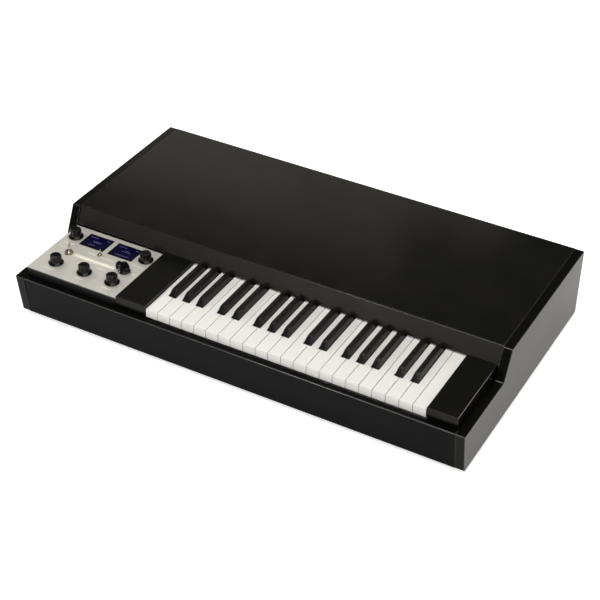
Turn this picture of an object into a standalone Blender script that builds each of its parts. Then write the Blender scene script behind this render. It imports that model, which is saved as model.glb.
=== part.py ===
"""A 37-key sample playback keyboard in a low black case with cheeks that rise behind the keys.

Sizes are in metres. X runs along the keyboard, Y from the player to the back, Z up from the table.
"""
import math

import bmesh
import bpy

# Case
CASE_W = 0.853
CASE_D = 0.487
FRONT_LEAN = 0.012
ARM_H = 0.079
CHEEK_H = 0.1306
CHEEK_T = 0.0166
RISER_FOOT = 0.140
RISER_RUN = 0.024
TOP_T = 0.009
TOP_PROUD = 0.0006
FASCIA_T = 0.009
FASCIA_RECESS = 0.0025
FASCIA_OVER_KEYS = 0.0027
BACK_T = 0.009
BASE_T = 0.010
RAIL_T = 0.014
RAIL_TOP_T = 0.0108
RAIL_LEDGE = 0.020
FOOT_H = 0.006
FOOT_W = 0.018
FOOT_INSET_X = 0.060
FOOT_INSET_Y = 0.030
EDGE = 0.0012
THIN_EDGE = 0.0007
BLOCK_EDGE = 0.001
FOOT_EDGE = 0.0006
EDGE_PROFILE = 0.6
GAP = 0.0003

# Keys
KEY_PITCH = 0.0235
KEY_GAP = 0.001
KEY_FRONT = 0.0002
WHITE_COUNT = 22
WHITE_OVER_ARM = 0.0178
WHITE_LIP = 0.0157
WHITE_PLATE_T = 0.0024
KEY_WALL = 0.0018
KEY_EDGE = 0.0004
BLACK_RISE = 0.012
BLACK_W = 0.0137
BLACK_TOP_W = 0.0097
BLACK_FRONT = 0.051
BLACK_SLOPE = 0.0098
BLACK_NOSE_H = 0.0012
BLACK_SIDE_GAP = 0.001
BLACK_SKIRT = 0.0128
BLACK_POCKET = 0.013
BLACK_BACK_GAP = 0.0092
TAIL_W = 0.010
TAIL_T = 0.011
TAIL_CHAMFER = 0.0015
KEY_DIP = 0.010
PIVOT_Y = 0.236
PIVOT_DROP = 0.0078
PIVOT_BLOCK = 0.012
TAIL_END = 0.008
ROD_R = 0.002
ROD_BORE_R = 0.0021
# Each black key's centre, measured from the joint between its two white neighbours
BLACK_SHIFT = {"F": -0.0036, "G": -0.0003, "A": 0.0030, "C": -0.0022, "D": 0.0022}
FIRST_OCTAVE = 3

# Blocks beside the keys
LEFT_BLOCK_W = 0.0598
RIGHT_BLOCK_W = 0.0532
RIGHT_BLOCK_GAP = 0.0021
BLOCK_KEY_GAP = 0.0005
BLOCK_OVER_KEYS = 0.0049
BLOCK_FRONT = -0.0004
BLOCK_LIP = 0.0167
BLOCK_LIP_T = 0.004

# Bed that carries the keys
BED_T = 0.003
BED_BEHIND_PIVOT = 0.026
BED_FLANGE_T = 0.003
STOP_FRONT = 0.020
STOP_T = 0.008
STOP_CLEAR = 0.0006
BRACKET_T = 0.003
MID_BRACKET_T = 0.0012
BRACKET_HALF = 0.006
BRACKET_OVER_ROD = 0.002

# Control panel
PANEL_UNDER_KEYS = 0.0005
PANEL_T = 0.002
PANEL_FRONT = 0.0005
PANEL_UNDER_FASCIA = 0.001
PANEL_SIDE_GAP = 0.0004
PANEL_BLOCK_GAP = 0.0010
HOUSING_INSET = 0.0016
HOUSING_WALL = 0.003
WINDOW_W = 0.0488
WINDOW_D = 0.0350
WINDOW_OFFSET = 0.0300
WINDOW_Y = 0.1220
WINDOW_GAP = 0.0003
DISPLAY_SUNK = 0.0004
LOWER_KNOB_Y = 0.036
UPPER_KNOB_Y = 0.120
SELECTOR_Y = 0.0733
# Places of the controls along X, from the panel's middle
LOWER_KNOBS = {"volume_knob": -0.0555, "tone_knob": 0.0040, "pitch_knob": 0.0615}
UPPER_KNOBS = {"track_a_knob": -0.0735, "track_b_knob": 0.0750}
SELECTOR_X = 0.0615
LARGE_TOGGLE_X = -0.0545
LARGE_TOGGLE_Y = 0.072
SMALL_TOGGLE_X = -0.0035
SMALL_TOGGLE_Y = 0.093

# Knobs
SKIRT_R = 0.0135
CAP_R = 0.0102
KNOB_H = 0.0162
KNOB_LIFT = 0.0005
SKIRT_H = 0.0026
SKIRT_RISE = 0.0016
CAP_FOOT = 0.0012
CAP_TAPER = 0.0003
CAP_ROUND = 0.0012
FLUTES = 9
FLUTE_DEPTH = 0.0010
SHAFT_R = 0.003
SHAFT_L = 0.010
SHAFT_CLEAR = 0.0003
POT_R = 0.0085
POT_H = 0.0135
SELECTOR_BASE_R = 0.0107
SELECTOR_NOSE = 0.0134
SELECTOR_TAIL = 0.0146
SELECTOR_TAIL_W = 0.0096
SELECTOR_TIP_W = 0.0024
SELECTOR_H = 0.0162
SELECTOR_NOSE_H = 0.0046
# Plan size of the pointer's bar below and on its crown, as a share of its foot
SELECTOR_DRAFT = 0.97
SELECTOR_CROWN = 0.90

# Toggle switches: nut across corners, bush, bore, ball, stem, tip, lever length, tilt in the photo, half body width
LARGE_TOGGLE = {"nut_r": 0.0080, "nut_h": 0.0022, "bush_r": 0.0056, "bush_h": 0.0048, "bore_r": 0.0037,
                "ball_r": 0.0031, "pivot_h": 0.0018, "stem_r": 0.0015, "tip_r": 0.0027, "length": 0.0185,
                "tilt": 10, "body_half": 0.0072}
SMALL_TOGGLE = {"nut_r": 0.0046, "nut_h": 0.0016, "bush_r": 0.0030, "bush_h": 0.0034, "bore_r": 0.0022,
                "ball_r": 0.0017, "pivot_h": 0.0012, "stem_r": 0.0009, "tip_r": 0.0014, "length": 0.0100,
                "tilt": 13, "body_half": 0.0041}

# Shape of both levers: places along the length, and radii as shares of stem and tip
WAIST_H = 0.4
SHOULDER_H = 0.8
STEM_GROWTH = 1.05
TIP_DRAFT = 0.93

# Board and sockets at the back
BOARD_W = 0.520
BOARD_D = 0.128
BOARD_T = 0.0016
STANDOFF_H = 0.008
STANDOFF_R = 0.004
STANDOFF_INSET = 0.010
SOCKET_H = 0.050
JACK_R = 0.0060
JACK_PITCH = 0.032
JACK_COUNT = 6
JACK_START = -0.215
DIN_R = 0.0085
DIN_PITCH = 0.034
DIN_COUNT = 3
DIN_START = 0.015
INLET_W = 0.028
INLET_H = 0.021
INLET_X = 0.205
SOCKET_BODY_D = 0.020
SOCKET_SIDE = 0.003
SOCKET_SUNK = 0.0006
SUPPLY_SIZE = (0.090, 0.055, 0.032)

ROUND = 32
BORE_SIDES = 16
SIDES_PER_FLUTE = 4
SELECTOR_SIDES = 72

HALF_W = CASE_W / 2
FRONT_Y = -(CASE_D + FRONT_LEAN) / 2 + FRONT_LEAN
INNER_X = HALF_W - CHEEK_T - GAP
RAIL_BACK = RAIL_TOP_T - FRONT_LEAN
RIDGE_H = CHEEK_H + TOP_PROUD
RISER_TOP = RISER_FOOT + RISER_RUN
RISER_LEAN = RISER_RUN / (CHEEK_H - ARM_H)
WHITE_TOP = ARM_H + WHITE_OVER_ARM
WHITE_BOTTOM = WHITE_TOP - WHITE_LIP
PIVOT_H = WHITE_TOP - PIVOT_DROP
BED_H = ARM_H - RAIL_LEDGE + GAP
BED_TOP = BED_H + BED_T
BED_BACK = PIVOT_Y + BED_BEHIND_PIVOT
BLOCK_TOP = WHITE_TOP + BLOCK_OVER_KEYS
PANEL_TOP = WHITE_TOP - PANEL_UNDER_KEYS
BOARD_FRONT = CASE_D - BACK_T - BOARD_D
KEYS_RIGHT = INNER_X - RIGHT_BLOCK_GAP - RIGHT_BLOCK_W - BLOCK_KEY_GAP
KEYS_LEFT = KEYS_RIGHT - WHITE_COUNT * KEY_PITCH
PANEL_X0 = -HALF_W + CHEEK_T + PANEL_SIDE_GAP
PANEL_X1 = KEYS_LEFT - BLOCK_KEY_GAP - LEFT_BLOCK_W - PANEL_BLOCK_GAP
PANEL_MID = (PANEL_X0 + PANEL_X1) / 2


def back(distance):
    """World Y of a point this far behind the case's front bottom edge."""
    return FRONT_Y + distance


def up(height):
    """World Z of a point this high above the case's underside."""
    return FOOT_H + height


def fascia_y(height):
    """How far back the fascia's front face is at a height."""
    return RISER_FOOT + FASCIA_RECESS + (height - ARM_H) * RISER_LEAN


PANEL_BACK = fascia_y(PANEL_TOP) + PANEL_UNDER_FASCIA


def finish(name, color, roughness, metallic=0.0):
    """A Principled material for one object."""
    material = bpy.data.materials.new(name + "_finish")
    material.use_nodes = True
    shader = material.node_tree.nodes["Principled BSDF"]
    shader.inputs["Base Color"].default_value = (*color, 1)
    shader.inputs["Roughness"].default_value = roughness
    shader.inputs["Metallic"].default_value = metallic
    material.diffuse_color = (*color, 1)
    return material


LACQUER = ((0.012, 0.012, 0.012), 0.30)
IVORY = ((0.80, 0.79, 0.76), 0.35)
EBONY = ((0.018, 0.018, 0.018), 0.55)
ALUMINIUM = ((0.60, 0.59, 0.56), 0.38, 1.0)
STEEL = ((0.45, 0.45, 0.46), 0.35, 1.0)
NICKEL = ((0.62, 0.58, 0.50), 0.22, 1.0)
KNOB_BLACK = ((0.015, 0.015, 0.016), 0.28)
HOUSING_BLACK = ((0.010, 0.010, 0.012), 0.45)
BOARD_GREEN = ((0.02, 0.10, 0.05), 0.5)
RUBBER = ((0.02, 0.02, 0.02), 0.85)


def add(name, bm, look, location=(0, 0, 0), smooth=False):
    """Turns a bmesh into a named object with its own material."""
    bmesh.ops.recalc_face_normals(bm, faces=bm.faces[:])
    mesh = bpy.data.meshes.new(name)
    bm.to_mesh(mesh)
    bm.free()
    mesh.materials.append(finish(name, *look))
    if smooth:
        mesh.shade_smooth()
        mesh.set_sharp_from_angle(angle=math.radians(35))
    obj = bpy.data.objects.new(name, mesh)
    obj.location = location
    bpy.context.scene.collection.objects.link(obj)
    return obj


def loft(bm, rings):
    """Closed skin through rings of equal length, with flat ends."""
    rows = [[bm.verts.new(p) for p in ring] for ring in rings]
    count = len(rows[0])
    for low, high in zip(rows, rows[1:]):
        for i in range(count):
            j = (i + 1) % count
            bm.faces.new((low[i], low[j], high[j], high[i]))
    bm.faces.new(rows[0][::-1])
    bm.faces.new(rows[-1])
    bmesh.ops.recalc_face_normals(bm, faces=bm.faces[:])
    return rows


def slab(bm, low, high):
    """Box between two corners."""
    x0, y0, z0 = low
    x1, y1, z1 = high
    plan = ((x0, y0), (x1, y0), (x1, y1), (x0, y1))
    return loft(bm, [[(x, y, z) for x, y in plan] for z in (z0, z1)])


def disc(radius, sides=ROUND):
    """Points of a circle."""
    return [(radius * math.cos(2 * math.pi * i / sides), radius * math.sin(2 * math.pi * i / sides))
            for i in range(sides)]


def post(bm, x, y, z0, z1, radius, sides=ROUND):
    """Upright round bar."""
    return loft(bm, [[(x + a, y + b, z) for a, b in disc(radius, sides)] for z in (z0, z1)])


def bar_x(bm, x0, x1, y, z, radius, sides=BORE_SIDES):
    """Round bar along X."""
    return loft(bm, [[(x, y + a, z + b) for a, b in disc(radius, sides)] for x in (x0, x1)])


def bar_y(bm, y0, y1, x, z, radius, sides=ROUND):
    """Round bar along Y."""
    return loft(bm, [[(x + a, y, z + b) for a, b in disc(radius, sides)] for y in (y0, y1)])


def side_profile(bm, outline, x0, x1):
    """Extrudes an outline of (distance back, height) pairs along X."""
    return loft(bm, [[(x, back(d), up(h)) for d, h in outline] for x in (x0, x1)])


def round_edges(bm, width, segments=2):
    """Rounds every sharp edge."""
    sharp = [e for e in bm.edges if len(e.link_faces) == 2 and e.calc_face_angle(0) > math.radians(20)]
    bmesh.ops.bevel(bm, geom=sharp, offset=width, segments=segments, profile=EDGE_PROFILE, affect="EDGES",
                    clamp_overlap=True)


def cutter(name, bm):
    """A helper solid for a Boolean."""
    obj = add(name, bm, LACQUER)
    obj.hide_render = True
    obj.display_type = "WIRE"
    return obj


def combine(target, operation, tool):
    """Adds an exact Boolean to an object."""
    modifier = target.modifiers.new(operation.lower(), "BOOLEAN")
    modifier.operation = operation
    modifier.solver = "EXACT"
    modifier.object = tool


def white_names():
    """Names of the white keys from the left, each with its letter."""
    letters = "FGABCDE"
    for i in range(WHITE_COUNT):
        octave = FIRST_OCTAVE + (i + 3) // 7
        yield i, letters[i % 7], octave


def key_seam(i):
    """X of the joint to the left of white key number i."""
    return KEYS_LEFT + i * KEY_PITCH


def black_centres():
    """White key number and X for each black key, which stands to the right of that white key."""
    return {i: key_seam(i + 1) + BLACK_SHIFT[letter] for i, letter, octave in white_names()
            if letter in BLACK_SHIFT and i < WHITE_COUNT - 1}


def make_cheeks():
    outline = [(0, 0), (-FRONT_LEAN, ARM_H), (RISER_FOOT, ARM_H), (RISER_TOP, CHEEK_H), (CASE_D, CHEEK_H),
               (CASE_D, 0)]
    for name, x0 in (("left_cheek", -HALF_W), ("right_cheek", HALF_W - CHEEK_T)):
        bm = bmesh.new()
        side_profile(bm, outline, 0, CHEEK_T)
        round_edges(bm, EDGE)
        add(name, bm, LACQUER, (x0, 0, 0))


def make_top_and_fascia():
    ridge = (fascia_y(RIDGE_H), RIDGE_H)
    mitre = (ridge[0] + TOP_T, RIDGE_H - TOP_T)
    lower = WHITE_TOP + FASCIA_OVER_KEYS
    bm = bmesh.new()
    side_profile(bm, [(ridge[0] + GAP, ridge[1]), (CASE_D, RIDGE_H), (CASE_D, RIDGE_H - TOP_T),
                      (mitre[0] + GAP, mitre[1])], -INNER_X, INNER_X)
    round_edges(bm, THIN_EDGE)
    add("top_cover", bm, LACQUER)
    bm = bmesh.new()
    side_profile(bm, [ridge, (mitre[0], mitre[1] - GAP), (fascia_y(lower) + FASCIA_T, lower),
                      (fascia_y(lower), lower)], -INNER_X, INNER_X)
    round_edges(bm, THIN_EDGE)
    add("fascia_panel", bm, LACQUER)


def make_shell():
    """Front rail, base and back."""
    bm = bmesh.new()
    ledge = ARM_H - RAIL_LEDGE
    side_profile(bm, [(0, 0), (-FRONT_LEAN, ARM_H), (RAIL_BACK, ARM_H), (RAIL_BACK, ledge), (RAIL_T, ledge),
                      (RAIL_T, 0)], -INNER_X, INNER_X)
    round_edges(bm, EDGE)
    add("front_rail", bm, LACQUER)
    bm = bmesh.new()
    slab(bm, (-INNER_X, back(RAIL_T + GAP), up(0)), (INNER_X, back(CASE_D - BACK_T - GAP), up(BASE_T)))
    add("base_panel", bm, HOUSING_BLACK)
    bm = bmesh.new()
    slab(bm, (-INNER_X, back(CASE_D - BACK_T), up(0)), (INNER_X, back(CASE_D), up(RIDGE_H - TOP_T - GAP)))
    panel = add("back_panel", bm, LACQUER)
    bm = bmesh.new()
    y0 = back(CASE_D - 2 * BACK_T)
    y1 = back(CASE_D + BACK_T)
    for x, radius in round_sockets():
        bar_y(bm, y0, y1, x, up(SOCKET_H), radius + GAP)
    half = INLET_W / 2 + GAP
    tall = INLET_H / 2 + GAP
    slab(bm, (INLET_X - half, y0, up(SOCKET_H) - tall), (INLET_X + half, y1, up(SOCKET_H) + tall))
    combine(panel, "DIFFERENCE", cutter("socket_holes", bm))


def round_sockets():
    """X and nose radius of each round socket at the back."""
    jacks = [(JACK_START + i * JACK_PITCH, JACK_R) for i in range(JACK_COUNT)]
    return jacks + [(DIN_START + i * DIN_PITCH, DIN_R) for i in range(DIN_COUNT)]


def make_feet():
    for name, distance in (("front_foot", FOOT_INSET_Y), ("rear_foot", CASE_D - FOOT_INSET_Y - FOOT_W)):
        bm = bmesh.new()
        half = HALF_W - FOOT_INSET_X
        slab(bm, (-half, 0, 0), (half, FOOT_W, FOOT_H - GAP))
        round_edges(bm, FOOT_EDGE, 1)
        add(name, bm, RUBBER, (0, back(distance), 0))


def make_bed():
    """Plate on the rail's ledge, bent down at the back, with key stop, brackets and pivot rod welded on."""
    bm = bmesh.new()
    side_profile(bm, [(RAIL_BACK + GAP, BED_H), (RAIL_BACK + GAP, BED_TOP), (BED_BACK, BED_TOP),
                      (BED_BACK, BASE_T + GAP), (BED_BACK - BED_FLANGE_T, BASE_T + GAP),
                      (BED_BACK - BED_FLANGE_T, BED_H)], -INNER_X, INNER_X)
    bed = add("key_bed", bm, STEEL)
    sink = BED_T / 2
    reach = (PIVOT_Y - STOP_FRONT) / (PIVOT_Y - KEY_FRONT)
    stop_top = WHITE_BOTTOM - KEY_DIP * reach - STOP_CLEAR
    stop = bmesh.new()
    slab(stop, (KEYS_LEFT + KEY_GAP, back(STOP_FRONT), up(BED_TOP) - sink),
         (KEYS_RIGHT - KEY_GAP, back(STOP_FRONT + STOP_T), up(stop_top)))
    combine(bed, "UNION", cutter("key_stop", stop))
    brackets = bmesh.new()
    top = up(PIVOT_H + ROD_R + BRACKET_OVER_ROD)
    centres = black_centres()
    places = [(KEYS_LEFT - BRACKET_T, BRACKET_T), (KEYS_RIGHT, BRACKET_T)]
    clear = (BLACK_W / 2 + BLACK_SIDE_GAP - TAIL_W / 2 - MID_BRACKET_T) / 2
    for i, letter, octave in white_names():
        if letter == "G":
            places.append((centres[i] + TAIL_W / 2 + clear, MID_BRACKET_T))
    for x, thick in places:
        slab(brackets, (x, back(PIVOT_Y - BRACKET_HALF), up(BED_TOP) - sink),
             (x + thick, back(PIVOT_Y + BRACKET_HALF), top))
    combine(bed, "UNION", cutter("rod_brackets", brackets))
    rod = bmesh.new()
    bar_x(rod, KEYS_LEFT - 2 * BRACKET_T, KEYS_RIGHT + 2 * BRACKET_T, back(PIVOT_Y), up(PIVOT_H), ROD_R)
    combine(bed, "UNION", cutter("pivot_rod", rod))


def key_origin(x):
    return (x, back(PIVOT_Y), up(PIVOT_H))


def bore_cutter():
    bm = bmesh.new()
    bar_x(bm, KEYS_LEFT - KEY_PITCH, KEYS_RIGHT + KEY_PITCH, back(PIVOT_Y), up(PIVOT_H), ROD_BORE_R)
    return cutter("pivot_bores", bm)


def make_white_keys(bores):
    centres = black_centres()
    beside = BLACK_W / 2 + BLACK_SIDE_GAP
    front = KEY_FRONT - PIVOT_Y
    shoulder = BLACK_FRONT - BLACK_SIDE_GAP - PIVOT_Y
    for i, letter, octave in white_names():
        x0 = key_seam(i) + KEY_GAP / 2
        x1 = key_seam(i + 1) - KEY_GAP / 2
        middle = (x0 + x1) / 2
        neck0 = centres[i - 1] + beside if i - 1 in centres else x0
        neck1 = centres[i] - beside if i in centres else x1

        def plan(inset, end):
            """Outline seen from above, drawn in by a wall."""
            points = [(x0 + inset, front + inset), (x1 - inset, front + inset)]
            if neck1 < x1:
                points += [(x1 - inset, shoulder - inset), (neck1 - inset, shoulder - inset)]
            points += [(neck1 - inset, end), (neck0 + inset, end)]
            if neck0 > x0:
                points += [(neck0 + inset, shoulder - inset), (x0 + inset, shoulder - inset)]
            return [(x - middle, y) for x, y in points]

        bottom = WHITE_BOTTOM - PIVOT_H
        top = WHITE_TOP - PIVOT_H
        outer = plan(0, TAIL_END)
        inner = plan(KEY_WALL, -PIVOT_BLOCK)
        bm = bmesh.new()
        rings = [(inner, top - WHITE_PLATE_T), (inner, bottom), (outer, bottom), (outer, top)]
        rows = loft(bm, [[(x, y, z) for x, y in ring] for ring, z in rings])
        crown = set(rows[-1])
        rim = [e for e in bm.edges if e.verts[0] in crown and e.verts[1] in crown]
        bmesh.ops.bevel(bm, geom=rim, offset=KEY_EDGE, segments=1, profile=0.5, affect="EDGES")
        key = add(f"key_{letter}{octave}", bm, IVORY, key_origin(middle))
        combine(key, "DIFFERENCE", bores)


def make_black_keys(bores):
    front = BLACK_FRONT - PIVOT_Y
    cap_back = fascia_y(WHITE_TOP + BLACK_RISE) - BLACK_BACK_GAP - PIVOT_Y
    base = WHITE_TOP - PIVOT_H
    low = base - BLACK_SKIRT
    top = base + BLACK_RISE
    half = BLACK_W / 2
    crown = BLACK_TOP_W / 2
    nose_half = half - (half - crown) * BLACK_NOSE_H / BLACK_RISE
    nose = base + BLACK_NOSE_H
    tail = (TAIL_W / 2, TAIL_W / 2, TAIL_W / 2 - TAIL_CHAMFER)
    tail_heights = (low, low + TAIL_T - TAIL_CHAMFER, low + TAIL_T)

    def section(y, widths, heights):
        right = [(w, y, z) for w, z in zip(widths, heights)]
        left = [(-w, y, z) for w, z in zip(widths[::-1], heights[::-1])]
        return right + left

    names = {i: (letter, octave) for i, letter, octave in white_names()}
    for i, x in black_centres().items():
        bm = bmesh.new()
        rows = loft(bm, [
            section(front, (half, half, nose_half), (low, base, nose)),
            section(front + BLACK_SLOPE, (half, half, crown), (low, base, top)),
            section(cap_back, (half, half, crown), (low, base, top)),
            section(cap_back + KEY_EDGE, tail, tail_heights),
            section(TAIL_END, tail, tail_heights)])
        floor = next(f for f in bm.faces if {rows[1][0], rows[1][-1], rows[2][0], rows[2][-1]} == set(f.verts))
        bmesh.ops.inset_individual(bm, faces=[floor], thickness=KEY_WALL)
        for vert in floor.verts:
            vert.co.z += BLACK_POCKET
        ridge = [e for e in bm.edges if all(v.co.z > top - KEY_EDGE for v in e.verts)]
        bmesh.ops.bevel(bm, geom=ridge, offset=2 * KEY_EDGE, segments=1, profile=0.5, affect="EDGES")
        letter, octave = names[i]
        key = add(f"key_{letter}s{octave}", bm, EBONY, key_origin(x))
        combine(key, "DIFFERENCE", bores)


def make_blocks():
    """Solid blocks at both ends of the keys."""
    fascia_low = WHITE_TOP + FASCIA_OVER_KEYS
    rear = fascia_y(fascia_low) - GAP
    floor = BED_TOP + GAP
    lip = BLOCK_TOP - BLOCK_LIP
    outline = [(BLOCK_FRONT, BLOCK_TOP), (BLOCK_FRONT, lip), (BLOCK_LIP_T, lip), (BLOCK_LIP_T, floor),
               (rear, floor), (rear, fascia_low), (fascia_y(BLOCK_TOP) - GAP, BLOCK_TOP)]
    for name, x, width in (("left_key_block", KEYS_LEFT - BLOCK_KEY_GAP - LEFT_BLOCK_W, LEFT_BLOCK_W),
                           ("right_key_block", KEYS_RIGHT + BLOCK_KEY_GAP, RIGHT_BLOCK_W)):
        bm = bmesh.new()
        side_profile(bm, outline, 0, width)
        round_edges(bm, BLOCK_EDGE)
        add(name, bm, LACQUER, (x, 0, 0))


def windows():
    """X of the middle of each display."""
    return (PANEL_MID - WINDOW_OFFSET, PANEL_MID + WINDOW_OFFSET)


def shafts():
    """Name, X and distance back of each turning control."""
    lower = [(name, PANEL_MID + dx, LOWER_KNOB_Y) for name, dx in LOWER_KNOBS.items()]
    upper = [(name, PANEL_MID + dx, UPPER_KNOB_Y) for name, dx in UPPER_KNOBS.items()]
    return lower + upper + [("selector_knob", PANEL_MID + SELECTOR_X, SELECTOR_Y)]


def toggles():
    """Name, X, distance back and sizes of each toggle."""
    return (("large_toggle", PANEL_MID + LARGE_TOGGLE_X, LARGE_TOGGLE_Y, LARGE_TOGGLE),
            ("small_toggle", PANEL_MID + SMALL_TOGGLE_X, SMALL_TOGGLE_Y, SMALL_TOGGLE))


def window_box(bm, x, grow, z0, z1):
    half_w = WINDOW_W / 2 + grow
    half_d = WINDOW_D / 2 + grow
    slab(bm, (x - half_w, back(WINDOW_Y) - half_d, z0), (x + half_w, back(WINDOW_Y) + half_d, z1))


def make_control_panel():
    z0 = up(PANEL_TOP - PANEL_T)
    z1 = up(PANEL_TOP)
    bm = bmesh.new()
    slab(bm, (PANEL_X0, back(PANEL_FRONT), z0), (PANEL_X1, back(PANEL_BACK), z1))
    panel = add("control_panel", bm, ALUMINIUM)
    bushes = bmesh.new()
    bores = bmesh.new()
    for name, x, distance, sizes in toggles():
        y = back(distance)
        post(bushes, x, y, z1 - PANEL_T / 2, z1 + sizes["nut_h"], sizes["nut_r"], 6)
        post(bores, x, y, z0 - PANEL_T, z1 + 2 * sizes["bush_h"], sizes["bore_r"])
    combine(panel, "UNION", cutter("toggle_nuts", bushes))
    threads = bmesh.new()
    for name, x, distance, sizes in toggles():
        post(threads, x, back(distance), z1 - PANEL_T / 2, z1 + sizes["bush_h"], sizes["bush_r"])
    combine(panel, "UNION", cutter("toggle_bushes", threads))
    for x in windows():
        window_box(bores, x, 0, z0 - PANEL_T, z1 + PANEL_T)
    for name, x, distance in shafts():
        post(bores, x, back(distance), z0 - PANEL_T, z1 + PANEL_T, SHAFT_R + SHAFT_CLEAR)
    combine(panel, "DIFFERENCE", cutter("panel_holes", bores))


def make_control_housing():
    """Black box below the panel, with the displays and the bodies of the rotary controls in it."""
    x0 = PANEL_X0 + HOUSING_INSET
    x1 = PANEL_X1 - HOUSING_INSET
    y0 = back(PANEL_FRONT + HOUSING_INSET)
    y1 = back(PANEL_BACK - HOUSING_INSET)
    z0 = up(BED_TOP + GAP)
    z1 = up(PANEL_TOP - PANEL_T - GAP)
    bm = bmesh.new()
    slab(bm, (x0, y0, z0), (x1, y1, z1))
    housing = add("control_housing", bm, HOUSING_BLACK)
    hollow = bmesh.new()
    wall = HOUSING_WALL
    slab(hollow, (x0 + wall, y0 + wall, z0 - wall), (x1 - wall, y1 - wall, z1 - wall))
    combine(housing, "DIFFERENCE", cutter("housing_hollow", hollow))
    raised = bmesh.new()
    for x in windows():
        window_box(raised, x, -WINDOW_GAP, z1 - wall / 2, up(PANEL_TOP - DISPLAY_SUNK))
    combine(housing, "UNION", cutter("display_modules", raised))
    pots = bmesh.new()
    bores = bmesh.new()
    for name, x, distance in shafts():
        post(pots, x, back(distance), z1 - POT_H, z1 - wall / 2, POT_R, BORE_SIDES)
        shaft_end = up(PANEL_TOP) - SHAFT_L
        post(bores, x, back(distance), shaft_end - 2 * SHAFT_CLEAR, z1 + wall, SHAFT_R + SHAFT_CLEAR)
    for name, x, distance, sizes in toggles():
        half = sizes["body_half"]
        slab(pots, (x - half, back(distance) - half, z1 - POT_H), (x + half, back(distance) + half, z1 - wall / 2))
    combine(housing, "UNION", cutter("rotary_bodies", pots))
    combine(housing, "DIFFERENCE", cutter("shaft_bores", bores))


def make_round_knobs():
    """Fluted caps on wide skirts; the shaft goes down through the panel."""
    rings = [(SHAFT_R, -SHAFT_L, 0), (SHAFT_R, KNOB_LIFT, 0), (SKIRT_R, KNOB_LIFT, 0), (SKIRT_R, SKIRT_H, 0),
             (CAP_R + CAP_FOOT, SKIRT_H + SKIRT_RISE, 0), (CAP_R, SKIRT_H + 2 * SKIRT_RISE, 1),
             (CAP_R - CAP_TAPER, KNOB_H - CAP_ROUND, 1), (CAP_R - CAP_TAPER - CAP_ROUND / 3, KNOB_H, 0.6),
             (CAP_R - CAP_TAPER - CAP_ROUND, KNOB_H, 0)]
    sides = FLUTES * SIDES_PER_FLUTE
    for name, x, distance in shafts():
        if name == "selector_knob":
            continue
        bm = bmesh.new()
        skin = []
        for radius, z, flute in rings:
            ring = []
            for i in range(sides):
                turn = 2 * math.pi * i / sides
                r = radius - flute * FLUTE_DEPTH * (1 - abs(math.cos(turn * FLUTES / 2)))
                ring.append((r * math.cos(turn), r * math.sin(turn), z))
            skin.append(ring)
        loft(bm, skin)
        add(name, bm, KNOB_BLACK, (x, back(distance), up(PANEL_TOP)), smooth=True)


def pointer_radius(turn, body):
    """Distance from the knob's axis to the edge of a round body with a bar from tail to nose."""
    c = math.cos(turn)
    s = abs(math.sin(turn))
    reach = SELECTOR_NOSE + SELECTOR_TAIL
    slope = (SELECTOR_TAIL_W - SELECTOR_TIP_W) / 2 / reach
    side = (SELECTOR_TAIL_W / 2 - slope * SELECTOR_TAIL) / (s + slope * c) if s + slope * c > 1e-9 else reach
    end = (SELECTOR_NOSE if c > 0 else SELECTOR_TAIL) / max(abs(c), 1e-9)
    return max(body, min(side, end))


def make_selector():
    """Pointer knob: a round body with a high tail to the left and a low nose to the right."""
    sides = SELECTOR_SIDES
    cap = SELECTOR_BASE_R - CAP_FOOT
    rings = [(SHAFT_R, 0, -SHAFT_L, 0), (SHAFT_R, 0, KNOB_LIFT, 0), (SELECTOR_BASE_R, 0, KNOB_LIFT, 0),
             (SELECTOR_BASE_R, 0, SKIRT_H, 0), (cap, 1, SKIRT_H + CAP_TAPER, 0),
             (cap - CAP_TAPER, SELECTOR_DRAFT, 0, CAP_ROUND),
             (cap - CAP_TAPER - CAP_ROUND, SELECTOR_CROWN, 0, 0)]
    bm = bmesh.new()
    skin = []
    for body, bar, z, below in rings:
        ring = []
        for i in range(sides):
            turn = 2 * math.pi * i / sides
            r = body if bar == 0 else max(body, bar * pointer_radius(turn, 0))
            x = r * math.cos(turn)
            fall = min(1, max(0, x / SELECTOR_NOSE))
            crown = SELECTOR_H - (SELECTOR_H - SELECTOR_NOSE_H) * fall
            ring.append((x, r * math.sin(turn), z if z else crown - below))
        skin.append(ring)
    loft(bm, skin)
    crown_faces = [f for f in bm.faces if len(f.verts) == sides and f.calc_center_median().z > 0]
    bmesh.ops.poke(bm, faces=crown_faces)
    place = (PANEL_MID + SELECTOR_X, back(SELECTOR_Y), up(PANEL_TOP))
    add("selector_knob", bm, KNOB_BLACK, place, smooth=True)


def make_toggle_levers():
    """Bat levers on a ball; the object's origin is the ball's centre, on the joint's axis."""
    sides = BORE_SIDES
    for name, x, distance, sizes in toggles():
        ball = sizes["ball_r"]
        stem = sizes["stem_r"]
        tip = sizes["tip_r"]
        length = sizes["length"]
        rings = [(ball * math.sin(math.radians(a)), -ball * math.cos(math.radians(a)))
                 for a in range(30, 150, 20)]
        neck = math.sqrt(ball ** 2 - stem ** 2)
        rings += [(stem, neck), (stem * STEM_GROWTH, length * WAIST_H), (tip * TIP_DRAFT, length * SHOULDER_H),
                  (tip, length - tip)]
        rings += [(tip * math.cos(math.radians(a)), length - tip + tip * math.sin(math.radians(a)))
                  for a in (30, 60, 80)]
        bm = bmesh.new()
        loft(bm, [[(a, b, z) for a, b in disc(r, sides)] for r, z in rings])
        lever = add(name, bm, NICKEL, (x, back(distance), up(PANEL_TOP) + sizes["pivot_h"]), smooth=True)
        lever.rotation_euler = (-math.radians(sizes["tilt"]), 0, 0)


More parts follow.
